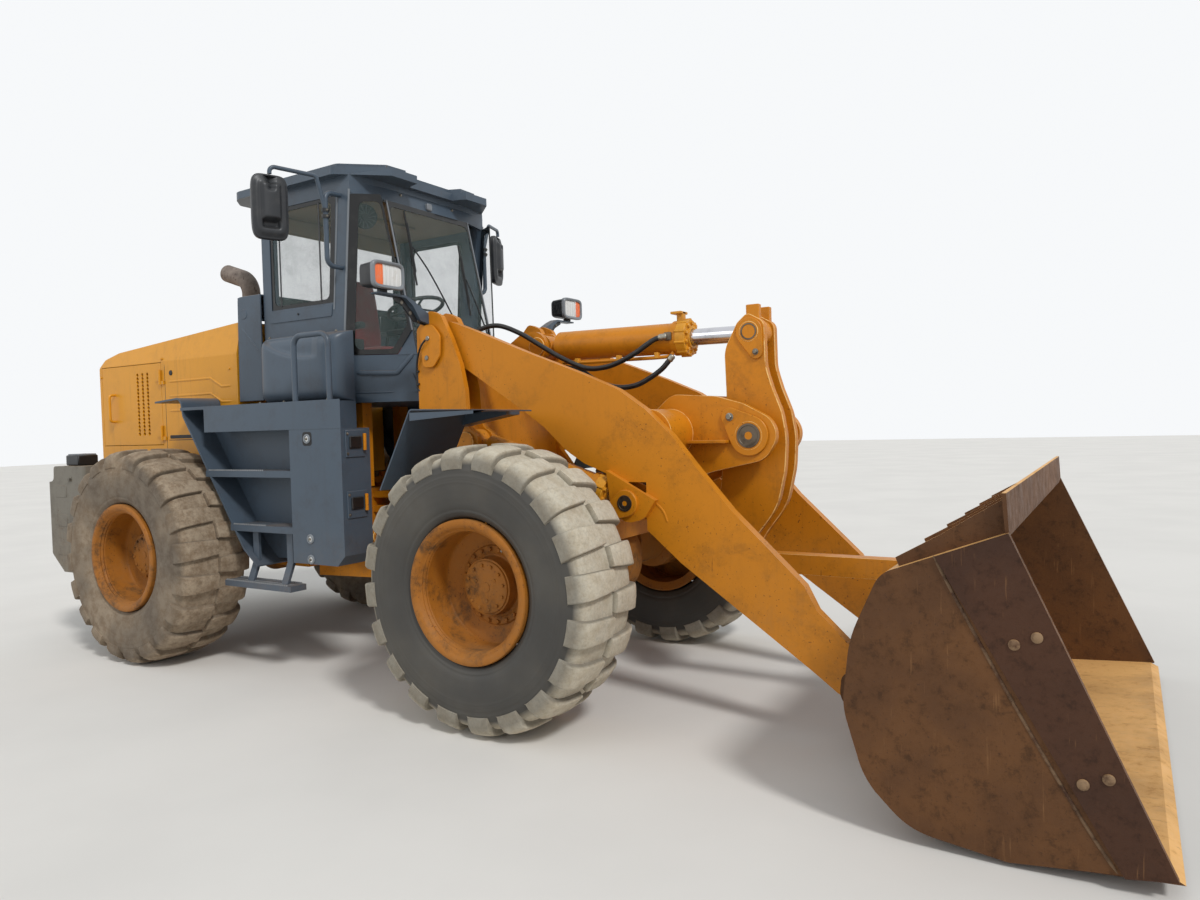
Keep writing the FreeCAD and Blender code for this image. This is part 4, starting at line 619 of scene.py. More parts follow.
def rubber(name, dusty, pale, tan):
    """Tyre rubber: dark sidewall with scuffs, pale dry dust on the lugs."""
    material, tree, shader = fresh_material(name)
    place = here(tree)
    tread = node(tree, "Attribute", attribute_name="dust").outputs["Fac"]
    scuff = noise(tree, place, 14.0, 9.0, 0.75)
    fine = noise(tree, place, 60.0, 6.0, 0.75)
    wall = plus(tree, times(tree, noise(tree, place, 2.6, 3.0, 0.5), 0.75), times(tree, scuff, 0.25))
    cover = times(tree, ramped(tree, wall, 0.36, 0.66, 0.45, 1.0), dusty)
    top = times(tree, tread, ramped(tree, fine, 0.2, 0.62, 0.72, 1.0))
    mask = larger(tree, cover, top, clamp=True)
    dust = mixed(tree, ramped(tree, scuff, 0.35, 0.65), linear(pale), linear(tan))
    cuts = ramped(tree, noise(tree, place, 24.0, 9.0, 0.8, 0.5), 0.35, 0.5)
    height = plus(tree, times(tree, cuts, tread), times(tree, fine, 0.35))
    wired(shader, {"Base Color": mixed(tree, mask, linear(tints().rubber), dust),
                   "Roughness": ramped(tree, mask, 0.0, 0.7, 0.55, 0.95), "Normal": bumped(tree, height, 0.35, 0.004)})
    return material


def bucket_steel(name, base, sunlit_scoured_up, scratched):
    """Rusty plate with clouds of rust, pits and fine broken scratches; faces that look up are painted pale, partly as
    sunlight on the floor and partly as scouring.
    """
    material, tree, shader = fresh_material(name)
    place = here(tree)
    up = upright(tree, node(tree, "NewGeometry").outputs["Normal"])
    clouds = noise(tree, place, 1.9, 7.0, 0.62, 0.3)
    mottle = noise(tree, place, 16.0, 8.0, 0.75)
    pits = noise(tree, place, 85.0, 5.0, 0.7)
    warm = [min(1.0, c * f) for c, f in zip(base, (1.2, 1.22, 1.2))]
    look = mixed(tree, ramped(tree, clouds, 0.38, 0.66), linear(base), linear(warm))
    look = mixed(tree, ramped(tree, mottle, 0.50, 0.68, 0.0, 0.6), look, linear([c * 0.62 for c in base]))
    look = mixed(tree, ramped(tree, pits, 0.58, 0.72, 0.0, 0.6), look, linear((0.15, 0.09, 0.06)))
    broken = times(tree, ramped(tree, noise(tree, place, 7.0, 3.0), 0.48, 0.62), scratched)
    for turn, fine in ((0.35, 70.0), (-0.9, 52.0)):
        lines = ramped(tree, noise(tree, slanted(tree, place, turn, 0.05), fine, 4.0, 0.6), 0.63, 0.70)
        look = mixed(tree, times(tree, lines, broken), look, linear((0.56, 0.40, 0.25)))
    edge = node(tree, "Attribute", attribute_name="wear").outputs["Fac"]
    bright = times(tree, edge, ramped(tree, noise(tree, place, 12.0, 5.0, 0.7), 0.35, 0.6))
    look = mixed(tree, bright, look, linear((0.70, 0.58, 0.44)))
    # Floor colour: pale steel that is partly painted sunlight and partly scouring, under scrape lines and mottling.
    scrape = noise(tree, stretched(tree, place, (0.12, 1.0, 1.0)), 40.0, 6.0, 0.75)
    scrape = ramped(tree, scrape, 0.58, 0.70, 0.0, 0.75)
    floor = mixed(tree, scrape, linear(tints().scoured), linear((0.55, 0.37, 0.20)))
    floor = mixed(tree, ramped(tree, mottle, 0.52, 0.68, 0.0, 0.5), floor, linear((0.72, 0.50, 0.26)))
    # Painted sunlight: the pale floor colour is laid on faces that look up, broken by the clouds.
    lying = times(tree, ramped(tree, up, 0.35, 0.9), sunlit_scoured_up)
    lying = times(tree, lying, ramped(tree, clouds, 0.25, 0.6, 0.65, 1.0))
    wired(shader, {"Base Color": mixed(tree, lying, look, floor), "Specular IOR Level": 0.3,
                   "Roughness": ramped(tree, mottle, 0.3, 0.7, 0.5, 0.8),
                   "Normal": bumped(tree, plus(tree, pits, times(tree, mottle, 1.5)), 0.25, 0.003)})
    return material


def bare_metal(name, tint, roughness, grease):
    """Machined or plated steel with smears of grease and fine scratches."""
    material, tree, shader = fresh_material(name)
    place = here(tree)
    smears = ramped(tree, noise(tree, place, 7.0, 6.0, 0.65), 0.48, 0.72, 0.0, grease)
    wired(shader, {"Base Color": mixed(tree, smears, linear(tint), linear((0.16, 0.12, 0.08))), "Metallic": 0.9,
                   "Roughness": ramped(tree, smears, 0.0, 1.0, roughness, 0.65),
                   "Normal": bumped(tree, noise(tree, place, 130.0, 3.0), 0.05, 0.001)})
    return material


def moulded(name, tint, roughness, grain=0.25, dust=0.35):
    """Grained plastic or rubber moulding, greyed by dust."""
    material, tree, shader = fresh_material(name)
    place = here(tree)
    look = effect(tree, "settled_dust", {"Colour": linear(tint), "Dust": linear((0.45, 0.42, 0.38)),
                                         "Amount": dust, "Splash": dust, "Height": 1.5})
    speck = ramped(tree, noise(tree, place, 9.0, 6.0, 0.7), 0.45, 0.75, 0.0, 0.18)
    wired(shader, {"Base Color": mixed(tree, speck, look["Colour"], linear((0.36, 0.35, 0.33))),
                   "Roughness": ramped(tree, look["Mask"], 0.0, 0.8, roughness, 0.9),
                   "Normal": bumped(tree, noise(tree, place, 240.0, 2.0), grain, 0.001)})
    return material


def rusty_pipe(name):
    """Heat-scaled exhaust pipe."""
    material, tree, shader = fresh_material(name)
    place = here(tree)
    scale = noise(tree, place, 11.0, 8.0, 0.7)
    look = mixed(tree, ramped(tree, scale, 0.35, 0.65), linear((0.40, 0.35, 0.31)), linear((0.53, 0.48, 0.44)))
    look = mixed(tree, ramped(tree, noise(tree, place, 40.0, 5.0), 0.55, 0.7), look, linear((0.27, 0.21, 0.18)))
    wired(shader, {"Base Color": look, "Roughness": ramped(tree, scale, 0.3, 0.7, 0.6, 0.85),
                   "Normal": bumped(tree, scale, 0.4, 0.003)})
    return material


def pane(name, tint, clear, dusty):
    """Window glass: clear, faintly tinted, with a film of dust."""
    material, tree, shader = fresh_material(name)
    place = here(tree)
    film = ramped(tree, noise(tree, place, 5.0, 8.0, 0.7), 0.40, 0.75)
    runs = ramped(tree, noise(tree, stretched(tree, place, (1.0, 1.0, 0.08)), 26.0, 5.0, 0.7), 0.55, 0.75)
    mask = times(tree, larger(tree, film, runs), dusty)
    wired(shader, {"Base Color": mixed(tree, mask, linear(tint), linear((0.62, 0.60, 0.56))),
                   "Alpha": plus(tree, mask, clear, clamp=True), "Roughness": ramped(tree, mask, 0.0, 1.0, 0.03, 0.4)})
    return material


def lens(name, tint, ribs):
    """Moulded lamp lens with upright ribs; its colour runs in bands towards a paler tint, a painted reflection of a
    bright reflector that is not built.
    """
    material, tree, shader = fresh_material(name)
    place = here(tree)
    wave = node(tree, "TexWave", {"Vector": place, "Scale": ribs}, bands_direction="Y").outputs["Fac"]
    # Painted reflection: the paler bands in the lens colour stand for the reflector behind it.
    ribs_and_painted_reflection = mixed(tree, ramped(tree, wave, 0.0, 1.0, 0.0, 0.5), linear(tint),
                  linear([min(1.0, c * 1.25 + 0.12) for c in tint]))
    dusty = ramped(tree, noise(tree, place, 18.0, 6.0), 0.5, 0.8, 0.0, 0.4)
    wired(shader, {"Base Color": mixed(tree, dusty, ribs_and_painted_reflection, linear((0.66, 0.62, 0.55))), "Coat Weight": 0.6,
                   "Roughness": ramped(tree, dusty, 0.0, 0.4, 0.08, 0.4), "Normal": bumped(tree, wave, 0.5, 0.002)})
    return material


def woven(name, tint):
    """Seat cloth with a fine weave and worn, dusty patches."""
    material, tree, shader = fresh_material(name)
    place = here(tree)
    warp, weft = (node(tree, "TexWave", {"Vector": place, "Scale": 190.0}, bands_direction=way).outputs["Fac"]
                  for way in "YX")
    weave = times(tree, warp, weft)
    worn = ramped(tree, noise(tree, place, 8.0, 6.0, 0.7), 0.42, 0.75, 0.0, 0.5)
    look = mixed(tree, weave, linear([c * 0.8 for c in tint]), linear(tint))
    wired(shader, {"Base Color": mixed(tree, worn, look, linear((0.42, 0.38, 0.34))), "Sheen Weight": 0.2,
                   "Roughness": ramped(tree, worn, 0.0, 0.5, 0.85, 0.95), "Normal": bumped(tree, weave, 0.4, 0.001)})
    return material


def finished(name):
    """The named finish, made the first time it is asked for; the prefix keeps it apart from the frame's own."""
    known = bpy.data.materials.get("finish_" + name)
    if known:
        return known
    t = tints()
    made = {
        "front_rubber": (rubber, 0.10, t.tread_dust, (0.74, 0.69, 0.60)),
        "rear_rubber": (rubber, 0.85, (0.66, 0.59, 0.50), (0.52, 0.44, 0.35)),
        # The third value sets how much faces that look up take the pale floor colour, painted sunlight with scouring.
        "bucket_plate": (bucket_steel, t.bucket, 0.95, 0.40),
        "bucket_cutter": (bucket_steel, t.cutter, 0.2, 0.30),
        "chrome": (bare_metal, t.chrome, 0.12, 0.35),
        "pin_steel": (bare_metal, (0.42, 0.38, 0.33), 0.42, 0.8),
        "bolt_steel": (bare_metal, (0.52, 0.50, 0.46), 0.45, 0.6),
        "step_steel": (bare_metal, (0.62, 0.63, 0.64), 0.5, 0.3),
        "pale_metal": (bare_metal, (0.62, 0.60, 0.55), 0.35, 0.3),
        "mirror_glass": (bare_metal, (0.75, 0.78, 0.80), 0.03, 0.1),
        "black_plastic": (moulded, (0.10, 0.105, 0.11), 0.45),
        "black_rubber": (moulded, t.black, 0.6, 0.1, 0.25),
        "dark_trim": (moulded, (0.075, 0.085, 0.10), 0.4, 0.15, 0.2),
        "roof_liner": (moulded, t.liner, 0.8, 0.5, 0.1),
        "black_frit": (moulded, (0.045, 0.048, 0.052), 0.12, 0.02, 0.10),
        "mirror_shell": (moulded, (0.13, 0.14, 0.155), 0.42, 0.3, 0.25),
        "hose_rubber": (moulded, (0.075, 0.075, 0.08), 0.45, 0.3, 0.25),
        "pale_trim": (moulded, (0.47, 0.49, 0.51), 0.40, 0.1, 0.2),
        "rust_pipe": (rusty_pipe,),
        "window_glass": (pane, (0.40, 0.47, 0.46), 0.13, 0.05),
        "dusty_glass": (pane, (0.44, 0.50, 0.48), 0.15, 0.09),
        "clear_lens": (lens, (0.80, 0.80, 0.78), 28.0),
        "amber_lens": (lens, t.amber, 40.0),
        "red_lens": (lens, (0.60, 0.06, 0.05), 40.0),
        "seat_cloth": (woven, t.cloth),
    }
    make, *values = made.get(name, (painted,))
    return make(name, *values)


# CAD pieces with their edges finished

def dressed(cad_node, finish, special=(), width=None, sharp=32.0, reshape=None):
    """A copy of a node's mesh, its flat faces whole again and its edges rounded.

    special holds (finish, test) rows; test takes the face centres and normals and says which faces get that finish.
    reshape, where there is one, takes the corners as rows of x, y, z and gives them back in their new places.
    """
    raw = NODES[cad_node].data.copy()
    if reshape:
        corners = np.zeros(len(raw.vertices) * 3)
        raw.vertices.foreach_get("co", corners)
        raw.vertices.foreach_set("co", reshape(corners.reshape(-1, 3)).ravel())
    mesh = bpy.data.meshes.new(cad_node + "_skin")
    shape = bmesh.new()
    shape.from_mesh(raw)
    bpy.data.meshes.remove(raw)
    bmesh.ops.remove_doubles(shape, verts=list(shape.verts), dist=2e-5)
    bmesh.ops.dissolve_limit(shape, angle_limit=radians(0.6), verts=list(shape.verts), edges=list(shape.edges))
    wear = shape.faces.layers.float.new("wear")
    width = sizes().edge if width is None else width
    keen = [e for e in shape.edges if len(e.link_faces) == 2 and e.calc_face_angle(0.0) > radians(sharp)
            and e.calc_length() > width]
    if keen and width > 0:
        rounded = bmesh.ops.bevel(shape, geom=keen, offset=width, segments=2, affect="EDGES", profile=0.6,
                                  clamp_overlap=True)
        for face in rounded["faces"]:
            if face.calc_area() < width * max(edge.calc_length() for edge in face.edges):
                face[wear] = 1.0
    shape.to_mesh(mesh)
    shape.free()
    mesh.materials.append(finished(finish))
    if special:
        count = len(mesh.polygons)
        centres, normals = np.zeros(count * 3), np.zeros(count * 3)
        mesh.polygons.foreach_get("center", centres)
        mesh.polygons.foreach_get("normal", normals)
        centres, normals = centres.reshape(-1, 3), normals.reshape(-1, 3)
        index = np.zeros(count, np.int32)
        for number, (other, test) in enumerate(special, 1):
            mesh.materials.append(finished(other))
            index[test(centres, normals)] = number
        mesh.polygons.foreach_set("material_index", index)
    mesh.shade_smooth()
    mesh.set_sharp_from_angle(angle=radians(50))
    piece = bpy.data.objects.new(cad_node + "_skin", mesh)
    bpy.context.scene.collection.objects.link(piece)
    weighted = piece.modifiers.new("Even shading", "WEIGHTED_NORMAL")
    weighted.keep_sharp = True
    weighted.weight = 90
    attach(piece, BODY_OF[cad_node])
    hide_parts(cad_node)
    return piece


def cut_back(corners):
    """The front fender's corners with its front end drawn back behind the wheel's top, its lip tapering to it."""
    front = corners[:, 0] > 1.0
    low = front & (corners[:, 2] < 1.75)
    corners[front, 0] -= 0.3305
    corners[low, 2] = 1.769
    return corners


def near_pin(place, radius):
    """Test for faces within a radius of a pin's line in the XZ plane."""
    def test(centres, normals):
        return np.hypot(centres[:, 0] - place[0], centres[:, 2] - place[1]) < radius
    return test


# Wheels

# Half section of the carcass: radius, distance from the middle plane
CARCASS = np.array([(0.3995, 0.214), (0.4005, 0.222), (0.412, 0.243), (0.440, 0.260), (0.480, 0.2705),
                    (0.520, 0.2760), (0.560, 0.2790), (0.600, 0.2800), (0.640, 0.2785), (0.675, 0.2735),
                    (0.702, 0.2640), (0.724, 0.2500), (0.740, 0.2310), (0.751, 0.2080), (0.758, 0.1800),
                    (0.7625, 0.1400), (0.765, 0.0900), (0.766, 0.0400), (0.766, 0.0)])
RIBS = (0.603, 0.618, 0.633)
LUG_SECTION = np.array([(-1.10, -0.25), (-1.04, 0.45), (-1.00, 0.80), (-0.95, 0.94), (-0.84, 1.0), (-0.4, 1.0),
                        (0.0, 1.0), (0.4, 1.0), (0.84, 1.0), (0.95, 0.94), (1.00, 0.80), (1.04, 0.45),
                        (1.10, -0.25)])


def wheel_centre(end, side):
    """Middle of a wheel, at the height of its radius."""
    low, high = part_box("rim_%s_%s" % (end, side))
    return np.array([(low[0] + high[0]) / 2, SIDE_SIGN[side] * WHEEL_Y, WHEEL_RADIUS])


def carcass_half(count):
    """Radius and offset along the half section, with raised ribs and a groove near the bead."""
    length = np.concatenate([[0], np.cumsum(np.hypot(*np.diff(CARCASS, axis=0).T))])
    s = np.linspace(0, length[-1], count)
    r, y = np.interp(s, length, CARCASS[:, 0]), np.interp(s, length, CARCASS[:, 1])
    for rib in RIBS:
        y = y + 0.0022 * np.exp(-((r - rib) / 0.0038) ** 2) * (y > 0.2)
    y = y - 0.003 * np.exp(-((r - 0.452) / 0.006) ** 2) + 0.002 * np.exp(-((r - 0.664) / 0.008) ** 2) * (y > 0.2)
    return r, y


def add_tyre(end, side):
    """Tyre: a half section carried round the wheel, and bars carried from mid tread over the shoulder."""
    rng = np.random.default_rng(11 + 2 * (end == "rear") + (side == "left"))
    finish = end + "_rubber"
    centre = wheel_centre(end, side)
    bundle = Bundle()
    r, y = carcass_half(96)
    section = np.vstack([np.stack([r, -y], -1), np.stack([r, y], -1)[::-1][1:]])
    sides = 150
    angle = 2 * pi * np.arange(sides) / sides
    points = np.stack([section[:, None, 0] * np.cos(angle), np.broadcast_to(section[:, None, 1], (len(section), sides)),
                       section[:, None, 0] * np.sin(angle)], -1)
    dusty = np.clip((section[:, 0] - 0.69) / 0.05, 0, 1) * 0.95
    bundle.add(points + centre, grid_faces(len(section), sides, wrap_cols=True), finish,
               dust=np.repeat(dusty, sides))
    lugs = sizes().lugs
    pitch = 2 * pi / lugs
    track = np.array([(0.764, 0.004), (0.764, 0.006), (0.765, 0.05), (0.7645, 0.10), (0.762, 0.15), (0.757, 0.19),
                      (0.748, 0.222), (0.733, 0.246), (0.712, 0.262), (0.690, 0.271), (0.672, 0.2755),
                      (0.668, 0.276)])
    share = np.linspace(0, 1, len(track))
    out = np.gradient(track, axis=0)
    out = np.stack([out[:, 1], -out[:, 0]], -1)
    out /= np.linalg.norm(out, axis=1)[:, None]
    rise = np.array([-0.2, 1.0, 1.0, 1.0, 1.0, 1.0, 1.0, 0.98, 0.80, 0.45, 0.18, -0.2]) * sizes().lug_height
    half_angle = np.interp(share, [0, 0.3, 0.75, 1.0], [0.20, 0.25, 0.30, 0.31]) * pitch
    lean = 0.05 * pitch * share
    turn = -(0.29 + 0.05) * pitch
    for half in (-1, 1):
        for k in range(lugs):
            worn = rng.uniform(0.9, 1.0)
            skew = rng.normal(0, 0.012 * pitch)
            height = rise[:, None] * LUG_SECTION[None, :, 1] * worn
            height = height + np.where(height > 0.02, rng.normal(0, 0.0007, height.shape), 0)
            radius = np.minimum(track[:, None, 0] + out[:, None, 0] * height, WHEEL_RADIUS)
            offset = np.minimum(track[:, None, 1] + out[:, None, 1] * height, TREAD_HALF)
            at = pi / 2 - ((k + 0.5 * (half > 0)) * pitch + turn + skew + lean[:, None]
                           + half_angle[:, None] * LUG_SECTION[None, :, 0])
            points = np.stack([radius * np.cos(at), half * offset, radius * np.sin(at)], -1)
            top = np.clip((height / sizes().lug_height - 0.45) / 0.5, 0, 1) * np.clip((radius - 0.73) / 0.05, 0, 1)
            dust = np.clip(0.42 + 0.58 * top, 0, 1)
            faces = grid_faces(len(track), len(LUG_SECTION))
            bundle.add(points + centre, faces[:, ::-1] if half < 0 else faces, finish, dust=dust.ravel())
    name = "tyre_%s_%s" % (end, side)
    return bundle.build(name + "_rubber", "wheel_%s_%s" % (end, side), "tyre_rubber", 38.0, [name])


# Rim section from the hub's cover outwards: distance outwards from the wheel's middle, radius
RIM_FACE = [(0.0915, 0.0), (0.0915, 0.141), (0.0885, 0.1465), (0.083, 0.1485), (0.0805, 0.150), (0.0785, 0.158),
            (0.072, 0.160), (0.020, 0.163), (0.012, 0.168), (0.009, 0.180), (0.012, 0.186), (0.012, 0.222),
            (0.004, 0.229), (0.006, 0.250), (0.030, 0.300), (0.036, 0.3225), (0.044, 0.3275), (0.060, 0.329),
            (0.150, 0.329), (0.204, 0.329), (0.208, 0.3325), (0.213, 0.3325), (0.217, 0.329), (0.224, 0.331),
            (0.232, 0.339), (0.236, 0.339), (0.239, 0.336), (0.243, 0.342), (0.256, 0.349), (0.266, 0.358),
            (0.2715, 0.372), (0.272, 0.388), (0.269, 0.396), (0.262, 0.400), (0.240, 0.3995)]
RIM_BACK = [(0.226, 0.3985), (0.220, 0.352), (0.205, 0.345), (-0.215, 0.345), (-0.228, 0.394), (-0.254, 0.394),
            (-0.256, 0.386), (-0.240, 0.332), (-0.060, 0.329), (0.010, 0.3275), (-0.004, 0.300), (-0.030, 0.230),
            (-0.060, 0.190), (-0.326, 0.190), (-0.326, 0.0705), (-0.120, 0.0705)]


def add_rim(end, side):
    """Rim, disc and planet hub as one profile carried round, with its bolt circles and valve."""
    sign = SIDE_SIGN[side]
    centre = wheel_centre(end, side)
    bundle = Bundle()
    axis = np.array([0.0, sign, 0.0])
    points, faces = turned(RIM_FACE + RIM_BACK, centre, axis, 112)
    bundle.add(points, faces[:, ::-1], "rim_paint")
    a, b = across(axis)
    for count, radius, level, size in ((sizes().hub_bolts, 0.124, 0.0905, 0.0095), (20, 0.205, 0.011, 0.013)):
        angle = 2 * pi * (np.arange(count) + 0.3) / count
        places = centre + axis * level + radius * (np.outer(np.cos(angle), a) + np.outer(np.sin(angle), b))
        bolts(bundle, places, axis, size, "axle_paint" if radius < 0.15 else "rim_paint")
    boss = centre + axis * 0.088
    bundle.add(*turned([(0.0, 0.030), (0.0065, 0.029), (0.0075, 0.026), (0.0075, 0.0)], boss, axis, 24), "rim_paint")
    for k in range(3):
        turn = 2 * pi * k / 3 + 0.6
        spot = centre + axis * 0.0905 + 0.075 * (cos(turn) * a + sin(turn) * b)
        bundle.add(*turned([(0.0, 0.011), (0.005, 0.010), (0.005, 0.0)], spot, axis, 12), "axle_paint")
    out = cos(0.9) * a + sin(0.9) * b
    stem = [centre + axis * 0.10 + out * 0.329, centre + axis * 0.10 + out * 0.300,
            centre + axis * 0.125 + out * 0.287, centre + axis * 0.165 + out * 0.284]
    bundle.add(*tube(eased(stem, 5), 0.0065, 8), "bolt_steel")
    name = "rim_%s_%s" % (end, side)
    return bundle.build(name + "_steel", "wheel_%s_%s" % (end, side), "rim_paint", 30.0, [name])


class LOADER_OT_wheels(bpy.types.Operator):
    """Build the four tyres with their lugs, and the rims with their hubs"""
    bl_idname = "loader.wheels"
    bl_label = "Wheels"

    def execute(self, context):
        for end, side in WHEELS:
            add_tyre(end, side)
            add_rim(end, side)
        return {"FINISHED"}


# Painted steel that keeps the CAD shape

# Finish, record slot, nodes
PLAIN_SKINS = [
    ("axle_paint", "axle_iron", "front_axle rear_axle front_shaft"),
    ("boom_paint", "boom_paint", "front_frame boom_arm_right boom_arm_left boom_cross_tube rocker tilt_link "
                                 "tilt_barrel steer_barrel_right steer_barrel_left lift_barrel_right lift_barrel_left"),
    ("boom_paint", "yellow_paint", "rear_frame"),
    ("boom_paint", "pin_steel", "frame_pins rocker_pin link_pin"),
    ("pin_steel", "pin_steel", "hinge_pins bucket_pins"),
    ("grey_paint", "grey_paint", "counterweight"),
    ("hood_paint", "yellow_paint", "hood_door_right hood_door_left rear_grille"),
    ("engine_paint", "engine_paint", "transmission engine_block"),
    ("slate_paint", "slate_paint", "side_unit_right side_unit_left cab_roof cab_shell cab_door handrails"),
    ("rust_pipe", "rust_pipe", "exhaust"),
]


class LOADER_OT_steelwork(bpy.types.Operator):
    """Give the CAD steelwork rounded, worn edges and its paint"""
    bl_idname = "loader.steelwork"
    bl_label = "Steelwork"

    def execute(self, context):
        for finish, slot, names in PLAIN_SKINS:
            for name in names.split():
                dressed(name, finish)
        dressed("front_fenders", "slate_paint", reshape=cut_back)
        cap = ("black_plastic", lambda c, n: (c[:, 2] > 2.553) & (np.hypot(c[:, 0] + 2.7875, c[:, 1] + 0.2) < 0.12))
        dressed("hood", "hood_paint", [cap])
        plates = ("bucket_cutter", lambda c, n: np.abs(c[:, 1]) > 1.4905)
        dressed("bucket", "bucket_plate", [plates])
        for name, eye, radius in (("lift_rod_right", LIFT_EYE, 0.1), ("lift_rod_left", LIFT_EYE, 0.1),
                                  ("tilt_rod", ROCKER_TOP, 0.1), ("steer_rod_right", STEER_EYE, 0.06),
                                  ("steer_rod_left", STEER_EYE, 0.06)):
            dressed(name, "chrome", [("boom_paint", near_pin(eye, radius))])
        return {"FINISHED"}


# Cab

SILL = 2.22                  # under the windscreen
GLASS_TOP = 3.33
NOSE_Y = 0.44                # half width of the windscreen
CAB_REAR = -1.6575


def nose_x(z):
    """Windscreen plane at a height."""
    return -0.3975 - 0.26 * (z - SILL) / 1.18


def pillar_x(z):
    """Front edge of the middle pillar at a height."""
    return -0.8175 + 0.11 * (z - SILL) / 1.18


def quarter_place(share, z, out=0.0):
    """Point on the right-hand quarter panel: share 0 at the pillar to 1 at the nose, out from the panel."""
    rear, front = np.array([pillar_x(z), -CAB_Y]), np.array([nose_x(z), -NOSE_Y])
    run = unit(front - rear)
    spot = rear + share * (front - rear) + out * np.array([run[1], -run[0]])
    return (*spot, z)


def inset_outline(flat, insets):
    """Polygon whose edges move inwards, each by its own distance; flat runs anticlockwise."""
    flat = np.asarray(flat, float)
    edge = np.roll(flat, -1, 0) - flat
    edge /= np.linalg.norm(edge, axis=1)[:, None]
    inward = np.stack([-edge[:, 1], edge[:, 0]], -1)
    start = flat + inward * np.asarray(insets, float)[:, None]
    before, back = np.roll(start, 1, 0), np.roll(edge, 1, 0)
    cross = back[:, 0] * edge[:, 1] - back[:, 1] * edge[:, 0]
    gap = start - before
    along = (gap[:, 0] * edge[:, 1] - gap[:, 1] * edge[:, 0]) / cross
    return before + back * along[:, None]


def add_pane(bundle, corners, border, thickness=0.007, radius=0.045, glass="window_glass"):
    """Flat glass between corners that run anticlockwise seen from outside, with a printed black border."""
    p = np.asarray(corners, float)
    first = unit(p[1] - p[0])
    normal = unit(np.cross(p[1] - p[0], p[-1] - p[0]))
    second = np.cross(normal, first)
    flat = np.stack([(p - p[0]) @ first, (p - p[0]) @ second], -1)
    inner = inset_outline(flat, border)
    rings = [round_outline([(*c, r) for c in ring], 6) for ring, r in ((flat, 0.012), (inner, radius))]
    count = len(rings[0])
    points = [p[0] + np.outer(ring[:, 0], first) + np.outer(ring[:, 1], second) + normal * depth
              for depth in (0.0, -thickness) for ring in rings]
    strip = grid_faces(2, count, wrap_cols=True)
    edge = np.stack([strip[:, 0], strip[:, 3] + count, strip[:, 2] + count, strip[:, 1]], -1)
    ring = np.arange(count)
    bundle.add(np.vstack(points), [strip, *flipped(strip + 2 * count), edge], "black_frit")
    bundle.add(points[1], [ring], glass)
    bundle.add(points[3], [ring[::-1]], glass)


def ridge(path, normal, half, height, steps=6):
    """A half-round bead along a path on a face: across it, half times the cosine and height times the sine."""
    path = np.asarray(path, float)
    normal = np.asarray(normal, float)
    run = np.gradient(path, axis=0)
    run /= np.linalg.norm(run, axis=1)[:, None]
    side = np.cross(normal, run)
    side /= np.linalg.norm(side, axis=1)[:, None]
    turn = np.linspace(0, pi, steps)
    size = np.ones(len(path))
    size[[0, -1]] = 0.35
    points = (path[:, None] + side[:, None] * (np.cos(turn)[None, :, None] * half * size[:, None, None])
              + normal * (np.sin(turn)[None, :, None] * height * size[:, None, None]) - normal * 0.001)
    return points.reshape(-1, 3), [grid_faces(len(path), steps), np.arange(steps),
                                   np.arange(steps)[::-1] + (len(path) - 1) * steps]


def add_ridge(bundle, path, normal, half, height, finish, wear=0.0):
    """A half-round bead laid on a face."""
    bundle.add(*ridge(path, normal, half, height), finish, wear)


def dense(path, step=0.04):
    """A path of straight runs with points added so that no run is longer than a step."""
    path = np.asarray(path, float)
    rows = [path[:1]]
    for a, b in zip(path[:-1], path[1:]):
        count = max(1, int(np.ceil(np.linalg.norm(b - a) / step)))
        rows.append(a + (b - a) * (np.arange(1, count + 1) / count)[:, None])
    return np.vstack(rows)


def squared(angle, power=6.0):
    """Unit rounded square: cosine and sine, each raised to two over the power with its sign kept."""
    c, s = np.cos(angle), np.sin(angle)
    return np.sign(c) * np.abs(c) ** (2 / power), np.sign(s) * np.abs(s) ** (2 / power)


def squared_loft(rows, axes, centre, power=6.0, sides=48):
    """Rounded squares (distance, half width, half height) carried along an axis, with closed ends."""
    along, wide, high = (np.asarray(a, float) for a in axes)
    angle = 2 * pi * np.arange(sides) / sides
    c, s = squared(angle, power)
    points = np.array([np.asarray(centre) + along * d + wide * (w * c)[:, None] + high * (h * s)[:, None]
                       for d, w, h in rows])
    faces = [grid_faces(len(rows), sides, wrap_cols=True), np.arange(sides)[::-1],
             np.arange(sides) + (len(rows) - 1) * sides]
    return points.reshape(-1, 3), faces


X_AXIS, Y_AXIS, Z_AXIS = np.eye(3)


